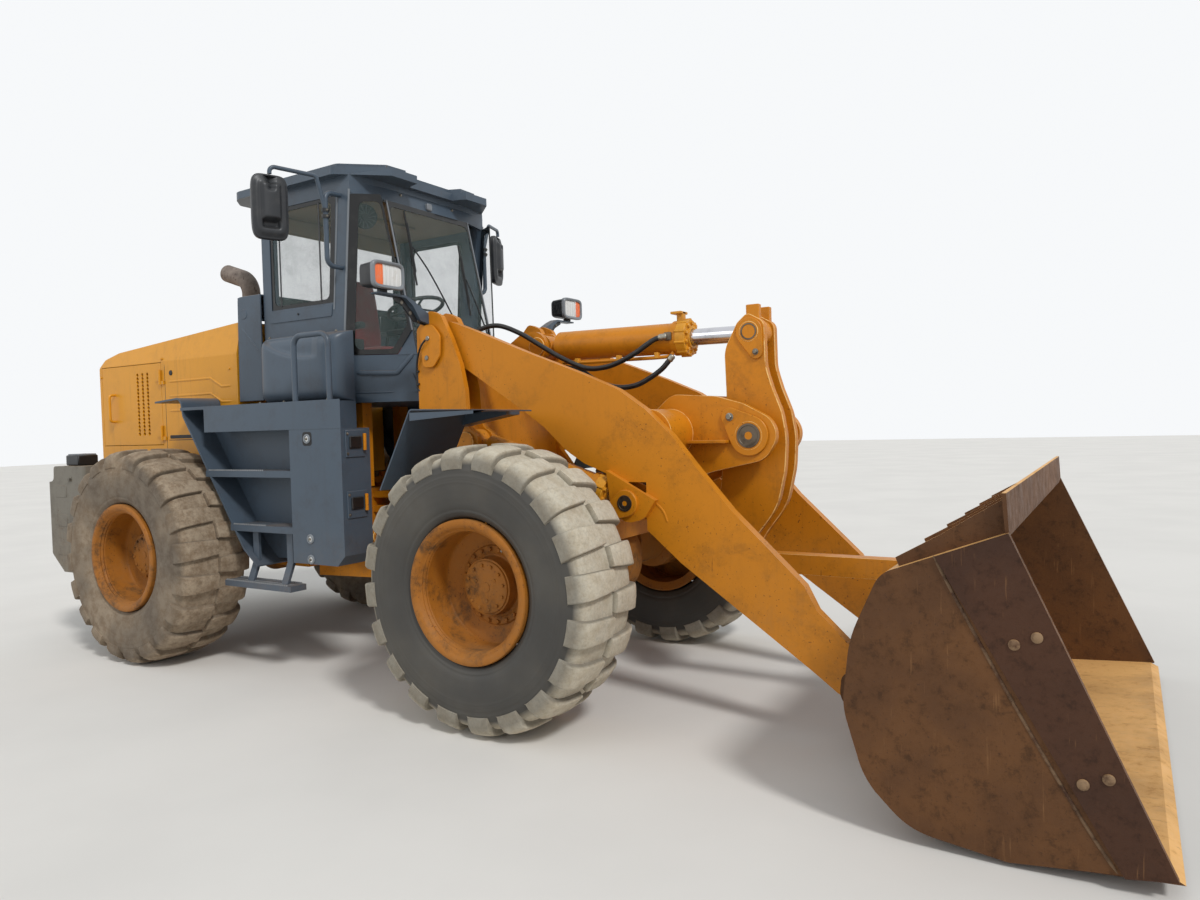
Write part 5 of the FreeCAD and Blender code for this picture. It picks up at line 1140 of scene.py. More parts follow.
def add_cab_glass():
    """Windscreen, quarter panes, side and rear windows, with seals."""
    bundle = Bundle()
    lift = 0.0035
    screen = [(nose_x(SILL) + lift, -NOSE_Y, SILL), (nose_x(SILL) + lift, NOSE_Y, SILL),
              (nose_x(GLASS_TOP) + lift, NOSE_Y, GLASS_TOP), (nose_x(GLASS_TOP) + lift, -NOSE_Y, GLASS_TOP)]
    add_pane(bundle, screen, (0.05, 0.018, 0.04, 0.018))
    rear_x = CAB_REAR + 0.012
    add_pane(bundle, [(rear_x, 0.65, 2.5), (rear_x, -0.65, 2.5), (rear_x, -0.65, 3.34), (rear_x, 0.65, 3.34)],
             (0.04, 0.04, 0.04, 0.04), glass="dusty_glass")
    half = Bundle()
    low = SILL + 0.004
    quarter = [quarter_place(0.02, low, lift), quarter_place(0.74, low, lift), quarter_place(0.995, 2.385, lift),
               quarter_place(0.995, GLASS_TOP, lift), quarter_place(0.02, GLASS_TOP, lift)]
    add_pane(half, quarter, (0.035, 0.045, 0.016, 0.05, 0.062))
    corner = [quarter_place(0.74, SILL - 0.002, lift), quarter_place(1.0, SILL - 0.002, lift),
              quarter_place(1.0, 2.385, lift)]
    corner_front, corner_back = np.array(corner), np.array(corner) - (0, -0.006, 0)
    half.add(np.vstack([corner_front, corner_back]), [np.array([[0, 1, 2]]), np.array([[5, 4, 3]]),
             np.array([[0, 3, 4, 1], [1, 4, 5, 2], [2, 5, 3, 0]])], "slate_paint")
    joint = [quarter_place(1.0, z, 0.003) for z in np.linspace(SILL + 0.17, GLASS_TOP, 20)]
    half.add(*tube(joint, 0.006, 8), "pale_trim")
    bundle.twin_from(half, flip=False).twin_from(half)
    y = -CAB_Y + 0.006
    add_pane(bundle, [(-1.5675, y, 2.6), (pillar_x(2.6) - 0.118, y, 2.6), (pillar_x(3.34) - 0.128, y, 3.34),
                      (-1.5675, y, 3.34)], (0.03, 0.055, 0.03, 0.03))
    for x in (-1.46, -1.03):
        add_box(bundle, (x - 0.008, y - 0.004, 2.62), (x + 0.008, y - 0.0005, 3.32), "dark_trim", 0.002)
    bundle.build("cab_panes", BODY_OF["cab_glass"], "cab_pane", 30.0, ["cab_glass"])
    door = Bundle()
    y = CAB_Y - 0.012
    low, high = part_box("cab_door_glass")
    add_pane(door, [(pillar_x(2.42) - 0.18, y, 2.42), (low[0] + 0.002, y, 2.42), (low[0] + 0.002, y, high[2]),
                    (pillar_x(high[2]) - 0.2, y, high[2])], (0.03, 0.03, 0.03, 0.03))
    door.build("door_pane", BODY_OF["cab_door_glass"], "cab_pane", 30.0, ["cab_door_glass"])


def add_cab_trim():
    """Pressed bars and the fin on the lower panels, seals, wipers, work light, rear cover and lining."""
    half = Bundle()
    normal = np.array([0.555, -0.832, 0.0])
    bar = [quarter_place(0.17, 2.098, 0.0), quarter_place(0.66, 2.092, 0.0), quarter_place(0.70, 2.095, 0.0),
           quarter_place(0.955, 2.225, 0.0)]
    add_ridge(half, dense(bar, 0.03), normal, 0.017, 0.011, "slate_paint", 0.25)
    add_ridge(half, dense([quarter_place(0.16, 1.958, 0.0), quarter_place(0.62, 1.958, 0.0)], 0.03), normal, 0.007,
              0.006, "slate_paint", 0.25)
    fin = [quarter_place(s, z, 0.0) for s, z in ((0.84, 2.085), (0.90, 2.085), (0.955, 1.955), (0.87, 1.955))]
    front = np.array(fin) + normal * 0.010
    half.add(np.vstack([fin, front]), [np.array([[4, 7, 6, 5]]), np.array([[0, 1, 5, 4], [1, 2, 6, 5], [2, 3, 7, 6],
                                                                         [3, 0, 4, 7]])[:, ::-1]], "slate_paint", 0.2)
    for z in (1.95, 2.19):
        spot = quarter_place(0.04, z, 0.001)
        bolts(half, [spot], normal, 0.006, "slate_paint")
    edge = [(pillar_x(z) + 0.002, -CAB_Y - 0.002, z) for z in np.linspace(1.95, 3.36, 30)]
    half.add(*tube(edge, 0.0075, 8), "pale_trim")
    seal = [(pillar_x(z) - 0.112, -CAB_Y - 0.001, z) for z in np.linspace(2.55, 3.34, 24)]
    half.add(*tube(seal, 0.006, 8), "pale_trim")
    cover = [(-1.935, 2.735, 0.03), (-1.668, 2.735, 0.0), (-1.668, 1.94, 0.0), (-1.952, 1.94, 0.0)]
    add_side_plate(half, round_outline(cover, 4), -0.735, -1, 0.010, "slate_paint", 0.004, 0.1)
    half.add(*turned([(0.0, 0.038), (0.004, 0.034), (0.003, 0.026), (0.005, 0.0)], (-1.862, -0.745, 2.60),
                     -Y_AXIS, 24), "slate_paint")
    add_ridge(half, dense([(-1.90, -0.745, 2.50), (-1.69, -0.745, 2.31)]), -Y_AXIS, 0.010, 0.004, "slate_paint", 0.1)
    bundle = both_sides(half)
    add_box(bundle, (-1.935, -0.736, 2.723), (-1.668, 0.736, 2.735), "slate_paint", 0.004)
    add_box(bundle, (-1.945, -0.736, 2.575), (-1.935, 0.736, 2.733), "slate_paint", 0.003)
    for y in np.linspace(-0.5, 0.5, 11):
        add_ridge(bundle, dense([(-1.91, y, 2.735), (-1.70, y, 2.735)]), Z_AXIS, 0.012, 0.006, "slate_paint", 0.1)
    add_side_plate(bundle, round_outline([(-1.585, 2.505, 0.01), (-0.925, 2.505, 0.01), (-0.915, 2.592, 0.01),
                                          (-1.585, 2.592, 0.01)], 3), -CAB_Y + 0.001, -1, 0.007, "slate_paint")
    bundle.add(*turned([(0, 0.008), (0.004, 0.007), (0.004, 0.0)], (-1.27, -CAB_Y - 0.008, 2.55), -Y_AXIS, 10),
               "black_rubber")
    bundle.build("cab_trim", "root", "slate_paint", 35.0)

    lining = Bundle()
    outline = np.array([(-1.60, -0.66), (-0.80, -0.66), (-0.72, -0.42), (-0.72, 0.42), (-0.80, 0.66), (-1.60, 0.66)])

    def under(u, v, depth):
        return np.stack([u, -v, 3.345 - depth], -1)
    lining.add(*plate(outline * (1, -1), under, 0.022, 0.008), "roof_liner")
    add_box(lining, (-1.595, -0.64, 3.20), (-1.560, 0.64, 3.325), "roof_liner", 0.012)
    add_box(lining, (-1.45, -0.30, 3.285), (-1.05, 0.30, 3.324), "roof_liner", 0.015)
    fan = np.array([-0.83, -0.47, 3.235])
    face = unit((0.75, -0.6, -0.1))
    lining.add(*turned([(-0.028, 0.03), (-0.026, 0.078), (-0.006, 0.088), (0.006, 0.088), (0.012, 0.084),
                        (0.008, 0.079), (-0.004, 0.079), (-0.006, 0.0)], fan, face, 32), "black_plastic")
    lining.add(*turned([(0.004, 0.026), (0.014, 0.024), (0.016, 0.0)], fan, face, 20), "black_plastic")
    a, b = across(face)
    for k in range(14):
        turn = 2 * pi * k / 14
        out = cos(turn) * a + sin(turn) * b
        lean = cos(turn + 0.5) * a + sin(turn + 0.5) * b
        lining.add(*tube([fan + out * 0.022 + face * 0.010, fan + lean * 0.055 + face * 0.016,
                          fan + lean * 0.083 + face * 0.010], 0.0016, 5), "pale_trim")
    lining.add(*tube([fan - face * 0.02, fan + (0, 0, 0.06), fan + (-0.01, 0, 0.095)], 0.009, 8), "black_plastic")
    lining.build("cab_lining", "root", "black_plastic", 35.0)

    outside = Bundle()
    slide = np.array([-(nose_x(SILL) - nose_x(GLASS_TOP)), 0.0, GLASS_TOP - SILL])
    slide /= np.linalg.norm(slide)
    away = np.array([slide[2], 0.0, -slide[0]])

    def screen(y, z, out=0.0):
        return np.array([nose_x(z), y, z]) + away * out
    for y0, top, foot_y in ((-0.30, 3.27, 0.03), (0.24, 3.10, 0.36)):
        blade = dense([screen(y0, top, 0.022), screen(y0 - 0.02, top - 0.55, 0.022)], 0.05)
        outside.add(*tube(blade, 0.007, 6), "black_rubber")
        outside.add(*tube(blade[2:-2] + away * 0.012, 0.005, 6), "dark_trim")
        arm = [screen(y0 - 0.008, top - 0.27, 0.040), screen(y0 * 0.6 + foot_y * 0.4, top - 0.48, 0.048),
               screen(foot_y, 2.42, 0.036), screen(foot_y + 0.02, 2.28, 0.028)]
        outside.add(*tube(eased(arm, 8), 0.006, 8), "dark_trim")
        outside.add(*turned([(0.0, 0.026), (0.024, 0.024), (0.030, 0.016), (0.030, 0.0)], screen(foot_y + 0.02, 2.27),
                            away, 16), "dark_trim")
    outside.add(*tube(dense([(-0.665, -0.30, 3.372), (-0.665, 0.30, 3.372)], 0.1), 0.013, 10), "pale_trim")
    outside.add(*squared_loft([(0, 0.02, 0.02), (0.004, 0.028, 0.026), (0.04, 0.028, 0.026), (0.045, 0.022, 0.02)],
                              (X_AXIS, Y_AXIS, Z_AXIS), (-0.672, 0.0, 3.366), 5.0, 24), "pale_trim")
    for y in (-0.28, 0.28):
        bolts(outside, [(-0.655, y, 3.40)], X_AXIS, 0.008, "bolt_steel")
    outside.build("cab_wipers", "root", "black_plastic", 35.0)


def add_side_box():
    """Moulded box beside the cab: a rounded block whose face steps in above a swooping line."""
    rear, front, low, high = -1.5625, -0.7225, 1.902, 2.39
    u, v = np.linspace(-1, 1, 121), np.linspace(-1, 1, 81)
    uu, vv = np.meshgrid(u, v)
    su, sv = np.sign(uu) * (1 - (1 - np.abs(uu)) ** 1.6), np.sign(vv) * (1 - (1 - np.abs(vv)) ** 1.5)
    x = (rear + front) / 2 + su * (front - rear) / 2
    z = (low + high) / 2 + sv * (high - low) / 2
    depth = 0.172 * (1 - np.abs(su) ** 9) ** 0.45 * (1 - np.abs(sv) ** 9) ** 0.45
    t = (x - rear) / (front - rear)
    swoop = high - 0.012 - 0.165 * (1 - np.exp(-(t / 0.30) ** 1.4)) / (1 - np.exp(-1 / 0.30 ** 1.4))
    inside = 1 / (1 + np.exp(-(z - swoop) / 0.006))
    fade = np.clip((0.80 - t) / 0.10, 0, 1) * np.clip((t - 0.02) / 0.06, 0, 1)
    depth = depth - 0.030 * inside * fade * np.clip((high - 0.012 - z) / 0.02, 0, 1) * (1 - 0.35 * t)
    bulge = np.exp(-(((t - 0.30) / 0.34) ** 2 + ((z - 2.02) / 0.17) ** 2))
    depth = depth + 0.006 * bulge
    y = -0.722 - depth
    points = np.stack([x, np.maximum(y, -0.8995), z], -1)
    bundle = Bundle()
    edge = np.where((np.abs(uu) > 0.999) | (np.abs(vv) > 0.999))
    points[edge[0], edge[1], 1] = -0.7195
    bundle.add(points, grid_faces(len(v), len(u)), "slate_paint")
    corners = np.array([0, len(u) - 1, len(u) * len(v) - 1, len(u) * (len(v) - 1)])
    rim = np.concatenate([np.arange(corners[0], corners[1]), np.arange(corners[1], corners[2], len(u)),
                          np.arange(corners[2], corners[3], -1), np.arange(corners[3], corners[0], -len(u))])
    bundle.faces.append(rim[::-1].tolist())
    bundle.finish.append(np.zeros(1, int))
    bundle.wear.append(np.zeros(1))
    for spot in ((-1.50, -0.80, 2.386), (-0.80, -0.80, 2.386)):
        bolts(bundle, [spot], Z_AXIS, 0.008, "bolt_steel")
    bundle.build("side_box_mould", BODY_OF["side_box"], "slate_paint", 40.0, ["side_box"])


def add_cushion(name, centre, half, turn, seams, finish):
    """Crowned closed pad: rounded square sections whose sides pull in between the corners."""
    rows, cols = 36, 64
    rise = np.linspace(-pi / 2, pi / 2, rows)
    angle = 2 * pi * np.arange(cols) / cols
    c, s = squared(angle, 5.0)
    w = np.cos(rise) ** 0.35
    h = np.sign(np.sin(rise)) * np.abs(np.sin(rise)) ** 0.7
    px, py = half[0] * w[:, None] * c, half[1] * w[:, None] * s
    pull = 1 - 0.035 * (1 - np.abs(h))[:, None] * np.cos(4 * angle)[None, :]
    px, py = px * pull, py * pull
    crown = (1 - (px / half[0]) ** 2) * (1 - (py / half[1]) ** 2)
    pz = half[2] * h[:, None] * (0.72 + 0.28 * np.clip(crown, 0, 1))
    for offset in seams:
        pz = pz - 0.010 * np.exp(-((py - offset) / 0.010) ** 2) * (h[:, None] > 0)
    points = np.stack([px, py, pz], -1)
    turn = Matrix.Rotation(turn, 3, "Y")
    points = points @ np.array(turn).T + np.asarray(centre)
    bundle = Bundle()
    bundle.add(points, [grid_faces(rows, cols, wrap_cols=True), np.arange(cols)[::-1],
                        np.arange(cols) + (rows - 1) * cols], finish)
    piece = bundle.build(name, BODY_OF["driver_seat"], "seat_fabric", 60.0)
    return piece


def add_seat():
    """Suspension seat: bellows base, red-covered cushions, arm rests."""
    add_cushion("seat_cushion", (-1.195, 0.0, 2.295), (0.255, 0.235, 0.055), 0.0, (-0.14, 0.14), "seat_cloth")
    add_cushion("seat_back", (-1.452, 0.0, 2.63), (0.285, 0.225, 0.052), -pi / 2 - 0.15, (-0.13, 0.13), "seat_cloth")
    base = Bundle()
    rows = []
    for k in range(13):
        size = 0.0 if k % 2 else 0.012
        rows.append((1.955 + k * 0.020, 0.20 + size - 0.012, 0.19 + size))
    rows.append((2.205, 0.235, 0.215))
    rows.append((2.240, 0.235, 0.215))
    base.add(*squared_loft(rows, (Z_AXIS, X_AXIS, Y_AXIS), (-1.2, 0.0, 0.0), 6.0, 40), "black_rubber")
    for side in (-1, 1):
        y0, y1 = sorted((side * 0.250, side * 0.315))
        rest = [(-1.38, 0.030, 0.020), (-1.375, 0.034, 0.026), (-1.10, 0.034, 0.026), (-1.085, 0.026, 0.018)]
        base.add(*squared_loft([(x, w, h) for x, w, h in rest], (X_AXIS, Y_AXIS, Z_AXIS),
                               (0.0, (y0 + y1) / 2, 2.495), 4.0, 20), "black_plastic")
        base.add(*tube([(-1.39, side * 0.262, 2.31), (-1.40, side * 0.275, 2.42), (-1.38, side * 0.28, 2.49)], 0.014,
                       10), "dark_trim")
    base.build("seat_base", BODY_OF["driver_seat"], "seat_fabric", 40.0, ["driver_seat"])
    dressed("cab_controls", "black_plastic")


class LOADER_OT_cab(bpy.types.Operator):
    """Build the cab's glass, seals, trim, wipers, lining, side box and seat"""
    bl_idname = "loader.cab"
    bl_label = "Cab"

    def execute(self, context):
        add_cab_glass()
        add_cab_trim()
        add_side_box()
        add_seat()
        return {"FINISHED"}


# Mirrors and lamps

MIRROR_AT = (-0.9248, -1.2, 3.175)
MIRROR_HALF = (0.118, 0.213, 0.040)
MIRROR_TOE = radians(20)


def add_mirror(bundle):
    """Mirror head: rounded-square rings from the shell's middle over its rim to the glass, with a drum and pocket."""
    wide = np.array([sin(MIRROR_TOE), cos(MIRROR_TOE), 0.0])
    ahead = np.array([cos(MIRROR_TOE), -sin(MIRROR_TOE), 0.0])
    sides = 96
    angle = 2 * pi * np.arange(sides) / sides
    c, s = squared(angle, 5.5)
    share = np.concatenate([[0.02], np.linspace(0.06, 0.92, 26), [0.945, 0.965, 0.985, 0.996, 1.0]])
    a, b = MIRROR_HALF[0] * np.outer(share, c), MIRROR_HALF[1] * np.outer(share, s)
    soft = 0.004

    def step(x):
        return 1 / (1 + np.exp(-np.clip(x / soft, -40, 40)))
    height = 0.014 * np.ones_like(a)
    height -= 0.014 * step(MIRROR_HALF[0] * (share[:, None] - 0.86)) * (share[:, None] < 0.97)
    drum = step(0.062 - np.abs(a)) * step(b + 0.085) * step(0.150 - b)
    height += drum * 0.026 * np.sqrt(np.clip(1 - (a / 0.070) ** 2, 0, 1))
    height -= 0.030 * step(0.052 - np.abs(a)) * step(-0.088 - b) * step(b + 0.135)
    height -= 0.030 * step(0.020 - np.abs(a)) * step(b - 0.105)
    height[-5:] = np.array([0.0, 0.0, -0.002, -0.007, -0.014])[:, None]
    points = np.asarray(MIRROR_AT) + a[..., None] * wide + b[..., None] * Z_AXIS + height[..., None] * ahead
    shell = [(1.0, -0.030), (0.985, -0.038), (0.95, -MIRROR_HALF[2])]
    for r, depth in shell:
        ring = (np.asarray(MIRROR_AT) + (MIRROR_HALF[0] * r * c)[:, None] * wide
                + (MIRROR_HALF[1] * r * s)[:, None] * Z_AXIS + depth * ahead)
        points = np.concatenate([points, ring[None]])
    rows = len(points)
    bundle.add(points, [grid_faces(rows, sides, wrap_cols=True)[:, ::-1], np.arange(sides)], "mirror_shell")
    glass = (np.asarray(MIRROR_AT) + (MIRROR_HALF[0] * 0.95 * c)[:, None] * wide
             + (MIRROR_HALF[1] * 0.95 * s)[:, None] * Z_AXIS - MIRROR_HALF[2] * ahead)
    bundle.add(glass, [np.arange(sides)[::-1]], "mirror_glass")
    clamp = np.array([-0.8048, -0.85, 3.19])
    for z in (0.012, -0.03):
        bundle.add(*turned([(-0.012, 0.020), (-0.012, 0.026), (0.012, 0.026), (0.012, 0.020)],
                           clamp + (0, 0, z), Z_AXIS, 16), "dark_trim")
        bolts(bundle, [clamp + (0.024, -0.006, z)], X_AXIS, 0.006, "bolt_steel")


LAMP_AT = (-0.0375, -1.04, 2.65)


def add_lamp(bundle):
    """Front lamp: deep housing, rounded bezel, amber and clear lens with ribs, bent carrier and its bracket."""
    axes = (X_AXIS, Y_AXIS, Z_AXIS)
    body = [(-0.150, 0.096, 0.052), (-0.147, 0.108, 0.063), (-0.130, 0.120, 0.072), (-0.030, 0.127, 0.078),
            (-0.026, 0.127, 0.078)]
    bundle.add(*squared_loft(body, axes, LAMP_AT, 7.0), "dark_trim")
    bezel = np.array([(-0.028, 0.128, 0.079), (-0.026, 0.135, 0.085), (-0.006, 0.135, 0.085), (0.0, 0.130, 0.080),
                      (-0.001, 0.119, 0.069), (-0.006, 0.114, 0.064), (-0.012, 0.113, 0.063)])
    points, faces = squared_loft(bezel, axes, LAMP_AT, 6.0)
    bundle.add(points, faces[0], "pale_trim", 0.2)
    y = np.linspace(-0.116, 0.116, 94)
    z = np.linspace(-0.066, 0.066, 9)
    yy, zz = np.meshgrid(y, z)
    rib = 0.0022 * np.abs(np.sin(yy / 0.0082 * pi / 2))
    face = np.stack([LAMP_AT[0] - 0.0115 + rib - 0.004 * (zz / 0.066) ** 4, LAMP_AT[1] + yy, LAMP_AT[2] + zz], -1)
    split = 30
    for low, high, finish in ((0, split, "amber_lens"), (split - 1, len(y), "clear_lens")):
        part = face[:, low:high]
        bundle.add(part, grid_faces(len(z), high - low), finish)
    wall_y = LAMP_AT[1] + y[split - 1]
    add_box(bundle, (LAMP_AT[0] - 0.020, wall_y - 0.002, LAMP_AT[2] - 0.066),
            (LAMP_AT[0] - 0.007, wall_y + 0.002, LAMP_AT[2] + 0.066), "clear_lens", 0.0005)
    add_box(bundle, (-0.125, -1.070, 2.548), (-0.085, -1.010, 2.573), "dark_trim", 0.006)

    def across_place(u, v, depth):
        return np.stack([-0.0775 - depth, u, v], -1)
    top = [(-0.655, 2.385, 0), (-0.655, 2.452, 0.02), (-0.79, 2.520, 0.06), (-0.86, 2.548, 0.05),
           (-1.10, 2.549, 0.006), (-1.10, 2.538, 0.004), (-0.865, 2.534, 0.04), (-0.80, 2.492, 0.05),
           (-0.735, 2.40, 0.04)]
    points, faces = plate(round_outline(top, 6), across_place, 0.070, 0.003)
    bundle.add(points, flipped(faces), "slate_paint", 0.1)
    web = [(-0.656, 2.374, 0), (-0.656, 2.40, 0), (-0.74, 2.42, 0.02), (-0.87, 2.536, 0.01), (-0.98, 2.536, 0.01),
           (-0.86, 2.48, 0.03), (-0.77, 2.392, 0.03)]

    def web_place(u, v, depth):
        return np.stack([-0.105 - depth, u, v], -1)
    points, faces = plate(round_outline(web, 4), web_place, 0.010, 0.002)
    bundle.add(points, flipped(faces), "dark_trim")
    for y, z in ((-0.875, 2.505), (-0.80, 2.445), (-0.725, 2.400)):
        bundle.add(*turned([(0.0, 0.013), (0.003, 0.012), (0.003, 0.0)], (-0.105, y, z), X_AXIS, 14), "bolt_steel")


def add_rear_lamp(bundle):
    """Rear lamp: grey box with louvres above and a red and amber lens behind."""
    add_box(bundle, (-3.752, -1.128, 1.470), (-3.560, -0.962, 1.556), "dark_trim", 0.008)
    for k in range(6):
        x = -3.735 + k * 0.030
        add_box(bundle, (x, -1.118, 1.552), (x + 0.014, -0.972, 1.566), "pale_trim", 0.003)
    for y0, y1, finish in ((-1.120, -1.070, "amber_lens"), (-1.068, -0.972, "red_lens")):
        add_box(bundle, (-3.7572, y0, 1.484), (-3.750, y1, 1.545), finish, 0.004)


class LOADER_OT_mirrors_lamps(bpy.types.Operator):
    """Build the mirrors, the front lamps on their carriers and the rear lamps"""
    bl_idname = "loader.mirrors_lamps"
    bl_label = "Mirrors and lamps"

    def execute(self, context):
        for name, adder, old in (("mirror_heads", add_mirror, "mirrors"), ("front_lamp_units", add_lamp, "front_lamps"),
                                 ("rear_lamp_units", add_rear_lamp, "rear_lamps")):
            half = Bundle()
            adder(half)
            both_sides(half).build(name, BODY_OF[old], "black_plastic", 40.0, [old])
        return {"FINISHED"}


# Linkage detail

def add_keeper(bundle, big, small, level, out, thickness=0.012, bolt=0.014):
    """Teardrop plate that holds a pin, with the pin's end and a bolt; big and small are (x, z, radius)."""
    add_side_plate(bundle, teardrop(*big, *small, sides=18), level, out, thickness, "boom_paint", 0.003,
                   0.3)
    face = level + out * thickness
    axis = Y_AXIS * out
    ring = [(-0.002, big[2] * 0.62), (0.004, big[2] * 0.60), (0.004, big[2] * 0.50), (0.001, big[2] * 0.48),
            (0.001, big[2] * 0.20), (-0.003, big[2] * 0.16), (-0.003, 0.0)]
    bundle.add(*turned(ring, (big[0], face, big[1]), axis, 28), "pin_steel")
    bolts(bundle, [(small[0], face, small[1])], axis, bolt, "bolt_steel")


def add_gland(bundle, base, eye, plane, mouth, barrel_r, rod_r, count):
    """Bolted head of a cylinder: a stepped ring and its bolts, at a distance from the base along the cylinder."""
    along = unit((eye[0] - base[0], 0.0, eye[1] - base[1]))
    centre = np.array([base[0], plane, base[1]]) + along * mouth
    ring = [(-0.052, barrel_r + 0.0125), (-0.048, barrel_r + 0.016), (0.010, barrel_r + 0.016),
            (0.014, barrel_r + 0.012), (0.014, rod_r + 0.022), (0.030, rod_r + 0.018), (0.030, rod_r + 0.003),
            (0.018, rod_r + 0.002), (-0.010, rod_r + 0.002)]
    bundle.add(*turned(ring, centre, along, 56), "gland_paint", 0.25)
    a, b = across(along)
    angle = 2 * pi * (np.arange(count) + 0.5) / count
    middle = (barrel_r + rod_r + 0.03) / 2
    places = centre + along * 0.013 + middle * (np.outer(np.cos(angle), a) + np.outer(np.sin(angle), b))
    bolts(bundle, places, along, 0.0125, "gland_paint")
    for turn in angle:
        out = cos(turn) * a + sin(turn) * b
        bundle.add(*turned([(-0.052, 0.010), (0.013, 0.010), (0.015, 0.008), (0.015, 0.0)],
                           centre + out * (barrel_r + 0.013), along, 8), "gland_paint", 0.3)


def add_hose(bundle, path):
    """Hydraulic line along smooth points, with a crimped steel end."""
    line = eased(path, 8)
    bundle.add(*tube(line, sizes().hose, 12), "hose_rubber")
    crimp = np.array([1.0, 1.28, 1.30, 1.22, 1.30, 1.28, 1.05]) * sizes().hose
    bundle.add(*tube(line[-len(crimp):], crimp, 12), "pale_metal")


